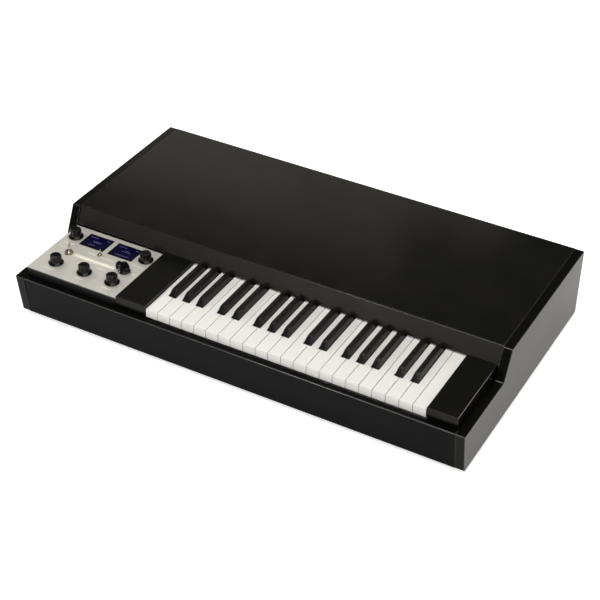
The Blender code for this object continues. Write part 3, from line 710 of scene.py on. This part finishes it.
def make_black_key(name):
    """Cap with leaning sides, a sloped front and a rounded crest, and a plain tail under the fascia."""
    low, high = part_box(name)
    middle = (low.x + high.x) / 2
    half = (high.x - low.x) / 2
    base = high.z - BLACK_RISE
    taper = (half - BLACK_CROWN / 2) / BLACK_RISE
    cap_back = fascia_y(high.z) - BLACK_BACK_GAP

    def ring(y, right):
        left = [(-x, z) for x, z in right[::-1]]
        return [(middle + x, y, z) for x, z in right + left]

    def cap(y, rise):
        """Section of the cap with its crest this high over the white keys."""
        r = min(BLACK_ROUND, rise * 0.45)
        crown = half - taper * rise
        right = [(half, low.z), (half, base)]
        right += arc(crown - r, base + rise - r, r, 8, 90, 5)
        right.append((crown * 0.35, base + rise + BLACK_CREST))
        return ring(y, right)

    def tail(y):
        """Section of the tail, with as many points as the cap's."""
        w = TAIL_W / 2
        right = [(w, low.z + TAIL_T * share) for share in (0, 0.5, 0.6, 0.68, 0.76, 0.84, 0.92)]
        right += [(w * 0.9, low.z + TAIL_T), (w * 0.4, low.z + TAIL_T)]
        return ring(y, right)

    full = BLACK_RISE - BLACK_CREST
    straight = 0.8
    level = 1.28
    rings = [cap(low.y, BLACK_NOSE_H)]
    for t in (0.03, 0.15, 0.3, 0.45, 0.6, 0.72, 0.82, 0.9, 0.97, 1.05, 1.15, level):
        bend = min(1, max(0, (t - straight) / (level - straight)))
        share = min(t, straight) + (1 - straight) * math.sin(bend * math.pi / 2)
        rings.append(cap(low.y + BLACK_SLOPE * t, BLACK_NOSE_H + (full - BLACK_NOSE_H) * share))
    rings.append(cap(low.y + BLACK_SLOPE * 1.45, full))
    for inward, drop in ((0.0030, 0), (0.0012, 0.0001), (0.0004, 0.0005), (0, 0.0014)):
        rings.append(cap(cap_back - inward, full - drop))
    rings += [tail(cap_back + 0.0004), tail(high.y)]
    bm = bmesh.new()
    skin(bm, rings)
    obj = new_object(name + "_black", bm, BLACK_PLASTIC, 38)
    settle(obj, name, "black_key", name)


def make_keys():
    whites, blacks = key_names()
    boxes = [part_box(n) for n in blacks]
    for name in whites:
        make_white_key(name, boxes)
    for name in blacks:
        make_black_key(name)
    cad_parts["key_bed"].data.materials[0] = ZINC


def make_felt():
    """Felt strip on the stop under the front ends of the keys."""
    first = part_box("key_F3")[0].x
    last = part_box("key_F6")[1].x
    front = back(FELT_FRONT)
    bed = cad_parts["key_bed"].data
    top = max(v.co.z for v in bed.vertices if abs(v.co.y - front) < 0.0005 and first < v.co.x + 0.01 < last)
    bm = bmesh.new()
    slab(bm, (first, front + FELT_INSET, top), (last, front + FELT_INSET + FELT_D, top + FELT_T))
    settle(new_object("stop_felt", bm, RED_FELT, 30), "case")


# Panel and controls

ROUND_KNOBS = ("volume_knob", "tone_knob", "pitch_knob", "track_a_knob", "track_b_knob")
SELECTOR = (PANEL_MID + SELECTOR_X, back(SELECTOR_Y))
TOGGLES = {"large_toggle": LARGE_TOGGLE, "small_toggle": SMALL_TOGGLE}

# Lines of each display: left and right end and y from the window's middle, and how tall
DISPLAY_LINES = {
    "a": ((-0.0205, -0.0045, 0.0121, 0.0010), (-0.0085, 0.0094, 0.0020, 0.0008),
          (-0.0055, 0.0070, -0.0006, 0.0008), (-0.0105, 0.0020, -0.0098, 0.0011),
          (0.0142, 0.0202, 0.0127, 0.0012)),
    "b": ((-0.0205, -0.0035, 0.0121, 0.0010), (-0.0070, 0.0120, 0.0008, 0.0009),
          (-0.0030, 0.0060, 0.0050, 0.0007), (-0.0130, 0.0148, -0.0112, 0.0010),
          (0.0150, 0.0205, 0.0127, 0.0012))}

# Print: left and right end from the panel's middle, y from the case's front edge, and how tall
DASH_H = 0.0012
DASHES = ((-0.0667, -0.0427, 0.0156), (-0.0023, 0.0145, 0.0164), (0.0519, 0.0723, 0.0161),
          (0.0635, 0.0856, 0.0965), (-0.0836, -0.0600, 0.0970), (-0.0791, -0.0704, 0.0815),
          (-0.0253, -0.0098, 0.0890), (0.0062, 0.0284, 0.0885), (0.0130, 0.0340, 0.0590))
STRIPES = ((0.0765, 0.0860, 0.0730, 0.0014), (-0.0440, 0.0430, 0.0755, 0.0010),
           (-0.0440, 0.0430, 0.0715, 0.0034), (-0.0440, 0.0430, 0.0675, 0.0010))

# Printed dots: x and y in the same way, and radius
DOTS = ((0.0759, 0.0826, 0.0009), (0.0770, 0.0644, 0.0009), (0.0813, 0.0305, 0.0010),
        (0.0821, 0.0408, 0.0007))


def windows():
    """X of the middles of both display windows."""
    return [PANEL_MID + side * WINDOW_OFFSET for side in (-1, 1)]


def middle_of(node):
    low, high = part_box(node)
    return ((low.x + high.x) / 2, (low.y + high.y) / 2)


def toggle_place(sizes):
    return (PANEL_MID + sizes["x"], back(sizes["y"]))


def disc(bm, x, y, radius, z0, z1, sides=ROUND):
    """Round plate or hole tool about an upright axis."""
    skin(bm, [[(x + a, y + b, z) for a, b, c in turn_points(radius, 0, sides)] for z in (z0, z1)])


def make_panel():
    """Brushed plate with its windows and holes cut through."""
    bm = bmesh.new()
    slab(bm, (panel_low.x, panel_low.y, panel_low.z), (panel_high.x, panel_high.y, PANEL_TOP))
    plate = new_object("panel_plate", bm, ALUMINIUM)
    below = panel_low.z - PANEL_T
    above = PANEL_TOP + PANEL_T
    y = back(WINDOW_Y)
    holes = bmesh.new()
    for x in windows():
        slab(holes, (x - WINDOW_W / 2, y - WINDOW_D / 2, below), (x + WINDOW_W / 2, y + WINDOW_D / 2, above))
    spots = [(*middle_of(node), SHAFT_HOLE) for node in ROUND_KNOBS] + [(*SELECTOR, SHAFT_HOLE)]
    spots += [(*toggle_place(sizes), sizes["bore_r"]) for sizes in TOGGLES.values()]
    for x, y, radius in spots:
        disc(holes, x, y, radius, below, above)
    cut(plate, new_object("panel_holes", holes, ALUMINIUM))
    # Faces that do not face up, the plate's sides and window walls, take the darker metal as painted shade.
    plate.data.materials.append(PANEL_SIDE_SHADE)
    for face in plate.data.polygons:
        if abs(face.normal.z) < 0.5:
            face.material_index = 1
    plate.data.shade_smooth()
    round_off(plate, PANEL_EDGE, 2)
    settle(plate, "case", "brushed_panel", "control_panel")
    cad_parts["control_housing"].data.materials[0] = HOUSING_BLACK


def bars(bm, x0, x1, y, tall, z, gaps=None):
    """A bar from x0 to x1, broken into short ones of random width where gaps is given."""
    x = x0
    while x < x1 - 1e-6:
        wide = min(x1 - x, gaps.uniform(BAR_MIN, BAR_MAX)) if gaps else x1 - x
        slab(bm, (x, y - tall / 2, z), (x + wide, y + tall / 2, z + MARK_H))
        x += wide + BAR_GAP


def make_display(label, x, y):
    """Dark bezel round a window, navy screen and plain broken lines in the place of the picture."""
    module = PANEL_TOP - SCREEN_BACK
    glass = PANEL_TOP - SCREEN_SUNK
    face = PANEL_TOP + BEZEL_H
    out_w = BEZEL_W / 2
    out_d = BEZEL_D / 2
    in_w = out_w - BEZEL_RIM
    in_d = out_d - BEZEL_RIM
    steps = ((out_w, out_d, PANEL_TOP), (out_w, out_d, face), (in_w, in_d, face), (in_w, in_d, module))
    bm = bmesh.new()
    skin(bm, [[(x + a, y + b, z) for a, b in rectangle(-w, -d, w, d)] for w, d, z in steps], closed=True)
    rim = new_object(f"display_{label}_bezel", bm, SCREEN_RIM, 30)
    round_off(rim, BEZEL_H / 2, 2)
    settle(rim, "case")
    bm = bmesh.new()
    slab(bm, (x - in_w, y - in_d, module), (x + in_w, y + in_d, glass))
    settle(new_object(f"display_{label}_screen", bm, SCREEN_NAVY, 30), "case")
    bm = bmesh.new()
    gaps = random.Random(ord(label))
    for x0, x1, dy, tall in DISPLAY_LINES[label]:
        bars(bm, x + x0, x + x1, y + dy, tall, glass, gaps)
    settle(new_object(f"display_{label}_lines", bm, SCREEN_LINES, 30), "case")


def make_marks():
    """Plain cream dots, dashes and stripes in the places of the printing."""
    bm = bmesh.new()
    for x0, x1, y, tall in [(*dash, DASH_H) for dash in DASHES] + list(STRIPES):
        bars(bm, PANEL_MID + x0, PANEL_MID + x1, back(y), tall, PANEL_TOP)
    for x, y, radius in DOTS:
        disc(bm, PANEL_MID + x, back(y), radius, PANEL_TOP, PANEL_TOP + MARK_H, 24)
    settle(new_object("panel_marks", bm, CREAM_PRINT, 30), "case")


def lobes(turn, radius):
    """Outline of the fluted cap: convex lobes with soft grooves between."""
    soft = 0.015
    wave = math.sqrt(math.cos(turn * FLUTES / 2) ** 2 + soft) / math.sqrt(1 + soft)
    return radius - FLUTE_DEPTH * (1 - wave)


def make_round_knob(node):
    """Fluted cap on a wide glossy skirt, with its shaft through the panel."""
    sides = FLUTES * 16
    top_r = CAP_R - 0.0002
    plain = [(SHAFT_R, -SHAFT_L), (SHAFT_R, KNOB_LIFT), (SKIRT_R - SKIRT_ROUND, KNOB_LIFT)]
    plain += arc(SKIRT_R - SKIRT_ROUND, KNOB_LIFT + SKIRT_ROUND, SKIRT_ROUND, -90, 0, 3)
    plain += arc(SKIRT_R - SHOULDER, SHOULDER_H, SHOULDER, 0, 48, 4)
    plain += [(WAIST_R + 0.0009, CAP_FOOT - 0.0006), (WAIST_R + 0.0003, CAP_FOOT - 0.0001)]
    fluted = [(WAIST_R + 0.0001, CAP_FOOT + 0.0004), (top_r, CAP_FOOT + 0.0014), (CAP_R, CAP_WIDEST),
              (top_r, KNOB_H - 0.0014)]
    crown = [(top_r - inward, KNOB_H - drop) for inward, drop in
             ((0.0002, 0.0008), (0.0006, 0.0003), (0.0012, 0), (0.0019, 0.0001), (0.0023, 0.0004))]
    crown += [(0.0030, KNOB_H - 0.0002), (0.0008, KNOB_H - 0.0001)]
    rings = [turn_points(r, z, sides) for r, z in plain]
    rings += [turn_points(r, z, sides, lobes) for r, z in fluted]
    for i, (r, z) in enumerate(crown):
        fade = max(0.0, 1 - i / 4)

        def fading(turn, radius):
            return radius - fade * (radius - lobes(turn, radius))

        rings.append(turn_points(r, z, sides, fading))
    bm = bmesh.new()
    skin(bm, rings)
    knob = new_object(node + "_fluted", bm, KNOB_PLASTIC, 50)
    knob.location = (*middle_of(node), PANEL_TOP)
    settle(knob, node, "knob_black", node)


def pointer_radius(turn):
    """Distance from the axis to the edge of the bar from the knob's tail to its nose."""
    c = math.cos(turn)
    s = abs(math.sin(turn))
    slope = (TAIL_BAR_W - NOSE_BAR_W) / 2 / (NOSE + TAIL)
    lean = s + slope * c
    side = (TAIL_BAR_W / 2 - slope * TAIL) / lean if lean > 1e-9 else 1
    end = (NOSE if c > 0 else TAIL) / max(abs(c), 1e-9)
    soft = 14
    return (side ** -soft + end ** -soft) ** (-1 / soft)


def make_selector():
    """Pointer knob: round body with a high tail bar and a low nose to the right."""
    sides = 144
    foot = SELECTOR_R - SKIRT_ROUND
    rings = [turn_points(SHAFT_R, z, sides) for z in (-SHAFT_L, KNOB_LIFT)]
    profile = [(foot, KNOB_LIFT)] + arc(foot, KNOB_LIFT + SKIRT_ROUND, SKIRT_ROUND, -90, 0, 3)
    profile += arc(SELECTOR_R - 0.0005, 0.0024, 0.0005, 0, 70, 3)
    rings += [turn_points(r, z, sides) for r, z in profile]
    # Levels: share of the bar's outline, inset from the body's, then height or depth below the crown
    levels = ((1.00, 0.0, 0.0034, None), (0.995, 0.0, 0.0044, None), (0.985, 0.0, None, 0.0026),
              (0.97, 0.0004, None, 0.0013), (0.955, 0.0008, None, 0.0006), (0.93, 0.0014, None, 0.0002),
              (0.89, 0.0022, None, 0.0), (0.60, 0.0040, None, -0.0002), (0.25, 0.0065, None, -0.0003))
    for share, inward, height, below in levels:
        ring = []
        for i in range(sides):
            turn = 2 * math.pi * i / sides
            r = max(BODY_R - inward, share * pointer_radius(turn))
            x = r * math.cos(turn)
            fall = min(1, max(0, x / NOSE))
            crown = SELECTOR_H - 0.0003 - (SELECTOR_H - SELECTOR_NOSE_H) * fall
            ring.append((x, r * math.sin(turn), height if height else crown - below))
        rings.append(ring)
    bm = bmesh.new()
    skin(bm, rings)
    knob = new_object("selector_pointer", bm, KNOB_PLASTIC, 50)
    knob.location = (*SELECTOR, PANEL_TOP)
    settle(knob, "selector_knob", "knob_black", "selector_knob")


def hexagon(turn, radius):
    """Radius of a hexagon with this corner radius."""
    sixth = math.pi / 3
    return radius * math.cos(sixth / 2) / math.cos((turn % sixth) - sixth / 2)


def place_fitting(name, bm, place, sharp):
    """Nickel part that is fixed to the panel at a toggle's place."""
    fitting = new_object(name, bm, NICKEL, sharp)
    fitting.location = (*place, PANEL_TOP)
    settle(fitting, "case", "toggle_metal")


def make_washer(node, sizes, high):
    nut = sizes["nut_r"]
    bush = sizes["bush_r"]
    profile = ((bush, 0), (nut * 1.01, 0), (nut * 1.03, high * 0.5), (nut * 1.01, high), (bush, high))
    bm = bmesh.new()
    skin(bm, [turn_points(r, z) for r, z in profile], closed=True)
    place_fitting(node + "_washer", bm, toggle_place(sizes), 35)


def make_nut(node, sizes, foot):
    """Hexagon nut with its corners bevelled by a round rim at top and foot."""
    nut = sizes["nut_r"]
    tall = sizes["nut_h"]
    bush = sizes["bush_r"]

    def bevelled(turn, radius):
        return min(hexagon(turn, nut), radius)

    profile = ((nut * 0.92, foot), (nut, foot + tall * 0.12), (nut, tall * 0.84), (nut * 0.90, tall))
    rings = [turn_points(r, z, 96, bevelled) for r, z in profile]
    bm = bmesh.new()
    skin(bm, [turn_points(bush, foot, 96), *rings, turn_points(bush, tall, 96)], closed=True)
    place_fitting(node + "_nut", bm, toggle_place(sizes), 25)


def make_bush(node, sizes):
    """Threaded collar that the lever comes out of."""
    tall = sizes["nut_h"]
    bush = sizes["bush_r"]
    bore = sizes["bore_r"]
    top = sizes["bush_h"]
    profile = [(bore, -PANEL_T), (bush - 0.0001, -PANEL_T), (bush - 0.0001, tall)]
    for i in range(int((top - tall - 0.0004) / THREAD_PITCH)):
        z = tall + 0.0002 + i * THREAD_PITCH
        profile += [(bush - THREAD_DEPTH, z), (bush, z + THREAD_PITCH / 2)]
    profile += [(bush - 0.0002, top - 0.0003), (bush - 0.0005, top), (bore + 0.0003, top),
                (bore, top - 0.0003)]
    bm = bmesh.new()
    skin(bm, [turn_points(r, z) for r, z in profile], closed=True)
    place_fitting(node + "_bush", bm, toggle_place(sizes), 35)


def make_lever(node, sizes):
    """Stem that swells from the ball at its pivot to a round tip."""
    ball = sizes["ball_r"]
    stem = sizes["stem_r"]
    tip = sizes["tip_r"]
    length = sizes["length"]
    rings = arc(0, 0, ball, -60, 60, 10)
    rings += [(stem, math.sqrt(ball ** 2 - stem ** 2) + 0.0002), (stem, length * 0.3)]
    for i in range(1, 9):
        share = i / 8
        swell = share * share * (3 - 2 * share)
        rings.append((stem + (tip - stem) * swell, length * (0.3 + 0.52 * share)))
    rings += [(tip * math.cos(math.radians(a)), length - tip + tip * math.sin(math.radians(a)))
              for a in (10, 25, 40, 55, 70, 82)]
    bm = bmesh.new()
    skin(bm, [turn_points(r, z, 40) for r, z in rings])
    lever = new_object(node + "_lever", bm, NICKEL, 50)
    lever.rotation_euler = (-math.radians(sizes["tilt"]), 0, 0)
    lever.location = (*toggle_place(sizes), PANEL_TOP + sizes["pivot_h"])
    settle(lever, node, "toggle_metal", node)


def make_controls():
    make_panel()
    for label, x in zip(DISPLAY_LINES, windows()):
        make_display(label, x, back(WINDOW_Y))
    make_marks()
    for node in ROUND_KNOBS:
        make_round_knob(node)
    make_selector()
    for node, sizes in TOGGLES.items():
        washer_h = sizes["nut_h"] * 0.24
        make_washer(node, sizes, washer_h)
        make_nut(node, sizes, washer_h)
        make_bush(node, sizes)
        make_lever(node, sizes)


# Rear and underside


def facing(direction, place):
    """Matrix that turns +Z to a direction and moves to a place."""
    turn = Vector(direction).to_track_quat("Z", "Y").to_matrix().to_4x4()
    return Matrix.Translation(place) @ turn


def on_rear(xs, proud=0.0):
    """Matrices for pieces in the row of sockets, this far out from the back board."""
    return [facing((0, 1, 0), (x, REAR_Y + proud, SOCKET_Z)) for x in xs]


def cross(turn, radius):
    """Outline of a cross recess."""
    wave = abs(math.sin(2 * turn))
    return radius * (0.28 + 0.72 * (1 - min(1, wave * 1.5)) ** 0.7)


def screw_head(bm):
    """Low domed head with a cross recess, on the surface it holds."""
    r = SCREW_R
    tall = r * 0.34
    outside = [turn_points(a * r, b * tall) for a, b in
               ((0.9, 0), (1, 0.12), (0.99, 0.4), (0.93, 0.66), (0.8, 0.85), (0.66, 0.95))]
    inside = [turn_points(0.52 * r, z, ROUND, cross) for z in (tall, tall * 0.95, tall * 0.1)]
    skin(bm, outside + inside)


def flat_ring(bm, bore, rim, high, chamfer=0.0002):
    """Flat ring round Z, chamfered at its top."""
    profile = [(bore, 0), (rim, 0), (rim, high - chamfer), (rim - chamfer, high), (bore + chamfer, high),
               (bore, high - chamfer)]
    skin(bm, [turn_points(r, z) for r, z in profile], closed=True)


def make_jacks():
    """Hexagon nut, collar and dark mouth of each jack socket."""
    def rounded(turn, radius):
        return min(hexagon(turn, radius), radius * 0.97)

    def nut(bm):
        skin(bm, [turn_points(JACK_COLLAR_R, 0, 96), turn_points(JACK_NUT_R, 0, 96, rounded),
                  turn_points(JACK_NUT_R, JACK_NUT_H - 0.0003, 96, rounded),
                  turn_points(JACK_NUT_R * 0.9, JACK_NUT_H, 96), turn_points(JACK_COLLAR_R, JACK_NUT_H, 96)],
             closed=True)

    def collar(bm):
        flat_ring(bm, JACK_BORE, JACK_COLLAR_R - 0.0001, JACK_COLLAR_H)

    def mouth(bm):
        disc(bm, 0, 0, JACK_BORE + 0.0001, 0, 0.0003)

    settle(gather("jack_nuts", nut, on_rear(JACK_XS), ZINC, 25), "case")
    settle(gather("jack_collars", collar, on_rear(JACK_XS), NICKEL, 30), "case")
    settle(gather("jack_mouths", mouth, on_rear(JACK_XS, -0.0005), HOUSING_BLACK), "case")


def make_round_sockets():
    """Metal flange, black insert and five contacts of each round socket."""
    def flange(bm):
        flat_ring(bm, ROUND_SOCKET_R - 0.0011, ROUND_SOCKET_R + 0.0022, 0.0010)

    def insert(bm):
        disc(bm, 0, 0, ROUND_SOCKET_R - 0.0010, 0, 0.0004)

    def contacts(bm):
        for i in range(5):
            turn = math.radians(-90 + (i - 2) * 45)
            disc(bm, PIN_CIRCLE * math.sin(turn), -PIN_CIRCLE * math.cos(turn), PIN_R, 0, 0.0003, 20)

    settle(gather("round_socket_flanges", flange, on_rear(ROUND_SOCKET_XS), ZINC, 30), "case")
    settle(gather("round_socket_faces", insert, on_rear(ROUND_SOCKET_XS, -0.0005), SOCKET_BLACK), "case")
    settle(gather("round_socket_pins", contacts, on_rear(ROUND_SOCKET_XS, -0.0001), BRASS), "case")


def make_inlet():
    """Black flange with a sunk face, three blades and two screws."""
    half_w = INLET_W / 2 + 0.011
    half_h = INLET_H / 2 + 0.0025
    in_w = INLET_W / 2 - 0.0018
    in_h = INLET_H / 2 - 0.0018
    front = REAR_Y + FLANGE_T
    steps = ((half_w, half_h, REAR_Y), (half_w, half_h, front), (in_w, in_h, front), (in_w, in_h, REAR_Y))
    bm = bmesh.new()
    skin(bm, [[(INLET_X + a, y, SOCKET_Z + b) for a, b in rectangle(-w, -h, w, h)] for w, h, y in steps],
         closed=True)
    flange = new_object("inlet_flange", bm, SOCKET_BLACK, 30)
    round_off(flange, 0.0003, 2)
    settle(flange, "case")
    bm = bmesh.new()
    slab(bm, (INLET_X - in_w, REAR_Y - 0.0006, SOCKET_Z - in_h),
         (INLET_X + in_w, REAR_Y - 0.0003, SOCKET_Z + in_h))
    settle(new_object("inlet_face", bm, HOUSING_BLACK, 30), "case")
    bm = bmesh.new()
    for dx, dz in ((-0.007, -0.0015), (0.007, -0.0015), (0, 0.003)):
        x = INLET_X + dx
        z = SOCKET_Z + dz
        slab(bm, (x - 0.0008, REAR_Y - 0.0004, z - 0.002), (x + 0.0008, REAR_Y + 0.0008, z + 0.002))
    blades = new_object("inlet_blades", bm, BRASS, 30)
    round_off(blades, 0.0002, 2)
    settle(blades, "case")
    spots = on_rear([INLET_X + side * 0.020 for side in (-1, 1)], FLANGE_T)
    settle(gather("inlet_screws", screw_head, spots, ZINC), "case")


def between(low, high, count):
    """Evenly spaced places from one screw inset to the other."""
    reach = high - low - 2 * SCREW_INSET
    return [low + SCREW_INSET + reach * i / (count - 1) for i in range(count)]


def make_screws():
    """Cross-head screws of the back board and of the base."""
    low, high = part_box("back_panel")
    rear = [facing((0, 1, 0), (x, high.y, z))
            for z in between(low.z, high.z, 2) for x in between(low.x, high.x, 6)]
    settle(gather("back_screws", screw_head, rear, DARK_SCREW), "case")
    low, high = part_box("base_panel")
    under = [facing((0, 0, -1), (x, y, low.z))
             for y in between(low.y, high.y, 3) for x in between(low.x, high.x, 5)]
    settle(gather("base_screws", screw_head, under, ZINC), "case")


def dress_nodes():
    """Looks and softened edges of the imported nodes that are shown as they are."""
    looks = {"back_panel": CASE_LACQUER, "base_panel": BASE_PAINT, "main_board": BOARD_GREEN,
             "front_foot": RUBBER, "rear_foot": RUBBER}
    for node, look in looks.items():
        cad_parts[node].data.materials[0] = look
    for node in ("back_panel", "base_panel", "front_foot", "rear_foot"):
        round_off(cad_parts[node], NODE_EDGE)


# Stage, lights and camera


def make_floor():
    """Pale floor: bright to the eye and in reflections, ordinary to the lamps, clear from below."""
    half = FLOOR_SIDE / 2
    bm = bmesh.new()
    bm.faces.new([bm.verts.new((x, y, 0)) for x, y in rectangle(-half, -half, half, half)])
    material = bpy.data.materials.new("pale_floor")
    material.use_nodes = True
    tree = material.node_tree
    tree.nodes.clear()
    rays = add_node(tree, "ShaderNodeLightPath").outputs
    place = add_node(tree, "ShaderNodeNewGeometry").outputs
    seen = add_node(tree, "ShaderNodeMath", {0: rays["Is Camera Ray"], 1: rays["Is Glossy Ray"]}, "MAXIMUM")
    also = add_node(tree, "ShaderNodeMath", {0: seen.outputs[0], 1: rays["Is Transmission Ray"]}, "MAXIMUM")
    reach = add_node(tree, "ShaderNodeVectorMath", {0: place["Position"]}, "LENGTH")
    level = add_node(tree, "ShaderNodeMapRange",
                     {"Value": reach.outputs["Value"], "From Min": FLOOR_NEAR, "From Max": FLOOR_FAR,
                      "To Min": FLOOR_GLOW, "To Max": 1.0})
    strength = add_node(tree, "ShaderNodeMath", {0: also.outputs[0], 1: level.outputs["Result"]}, "MULTIPLY")
    glow = add_node(tree, "ShaderNodeEmission", {"Color": (1, 1, 1, 1), "Strength": strength.outputs[0]})
    paint = add_node(tree, "ShaderNodeBsdfDiffuse", {"Color": (0.8, 0.8, 0.8, 1)})
    total = add_node(tree, "ShaderNodeAddShader", {0: glow.outputs[0], 1: paint.outputs[0]})
    clear = add_node(tree, "ShaderNodeBsdfTransparent")
    either = add_node(tree, "ShaderNodeMixShader",
                      {0: place["Backfacing"], 1: total.outputs[0], 2: clear.outputs[0]})
    add_node(tree, "ShaderNodeOutputMaterial", {"Surface": either.outputs[0]})
    new_object("floor", bm, material)


def make_world():
    """White to the eye; in reflections pale at the horizon and dimmer overhead."""
    world = bpy.data.worlds.new("studio")
    bpy.context.scene.world = world
    world.use_nodes = True
    tree = world.node_tree
    place = add_node(tree, "ShaderNodeTexCoord")
    split = add_node(tree, "ShaderNodeSeparateXYZ", {0: place.outputs["Generated"]})
    ramp = add_node(tree, "ShaderNodeValToRGB", {"Fac": split.outputs["Z"]})
    stops = ((0.0, 1.0), (0.03, 0.75), (0.12, 0.34), (0.5, 0.13), (1.0, 0.15))
    for position, level in stops[1:-1]:
        ramp.color_ramp.elements.new(position)
    for element, (position, level) in zip(ramp.color_ramp.elements, stops):
        element.color = (level, level, level, 1)
    paths = add_node(tree, "ShaderNodeLightPath")
    shown = add_node(tree, "ShaderNodeMix")
    shown.data_type = "RGBA"
    feed(tree, shown, {"Factor": paths.outputs["Is Camera Ray"], 6: ramp.outputs["Color"], 7: (1, 1, 1, 1)})
    feed(tree, tree.nodes["Background"], {"Color": shown.outputs[2], "Strength": 1.0})


def lamp(name, place, target, size, power, color=LAMP_WHITE):
    """Soft rectangular lamp, aimed at a target."""
    data = bpy.data.lights.new(name, "AREA")
    data.shape = "RECTANGLE"
    data.size, data.size_y = size
    data.energy = power
    data.color = color
    obj = bpy.data.objects.new(name, data)
    obj.location = place
    obj.rotation_euler = (Vector(target) - Vector(place)).to_track_quat("-Z", "Y").to_euler()
    bpy.context.scene.collection.objects.link(obj)


def make_lamps():
    """Broad lamps above, boxes behind that the top reflects, and small ones round about."""
    lamp("overhead_box", (0.3, -0.3, 2.4), (0, 0, 0.1), (2.2, 1.8), 38)
    lamp("key_lamp", (0.5, -1.8, 1.9), (0, 0, 0.1), (1.2, 1.2), 18)
    lamp("left_back_box", (-0.85, 1.35, 0.53), (-0.85, 0, 0.53), (1.5, 0.8), 2.7, BACK_WARMTH)
    lamp("far_back_box", (-1.25, 1.35, 0.6), (-1.25, 0, 0.6), (1.0, 0.95), 2.4, BACK_WARMTH)
    lamp("high_back_box", (-0.9, 1.35, 0.95), (-0.9, 0, 0.95), (1.0, 0.4), 0.75, BACK_WARMTH)
    lamp("left_box", (-1.7, -0.1, 1.3), (-0.3, -0.1, 0.1), (0.5, 0.4), 11)
    lamp("low_front_box", (-0.6, -1.6, 0.3), (0, 0, 0.12), (0.5, 0.35), 0.7)
    lamp("low_middle_box", (-0.42, -1.65, 0.42), (0, 0, 0.12), (0.25, 0.35), 4.4)
    lamp("right_box", (1.8, 1.0, 0.9), (0.4, 0.1, 0.0), (1.0, 1.0), 12, SIDE_WARMTH)


def make_camera():
    data = bpy.data.cameras.new("camera")
    data.lens = CAMERA_LENS
    camera = bpy.data.objects.new("camera", data)
    bpy.context.scene.collection.objects.link(camera)
    view = (CAMERA_TARGET - CAMERA_PLACE).to_track_quat("-Z", "Y").to_matrix()
    camera.rotation_euler = (view @ Matrix.Rotation(CAMERA_ROLL, 3, "Z")).to_euler()
    camera.location = CAMERA_PLACE
    bpy.context.scene.camera = camera


make_cheeks()
make_top()
make_fascia()
make_front_rail()
make_blocks()
make_keys()
make_controls()
make_jacks()
make_round_sockets()
make_inlet()
make_screws()
make_felt()
dress_nodes()
make_floor()
make_world()
make_lamps()
make_camera()
bpy.context.scene.view_settings.view_transform = "Standard"
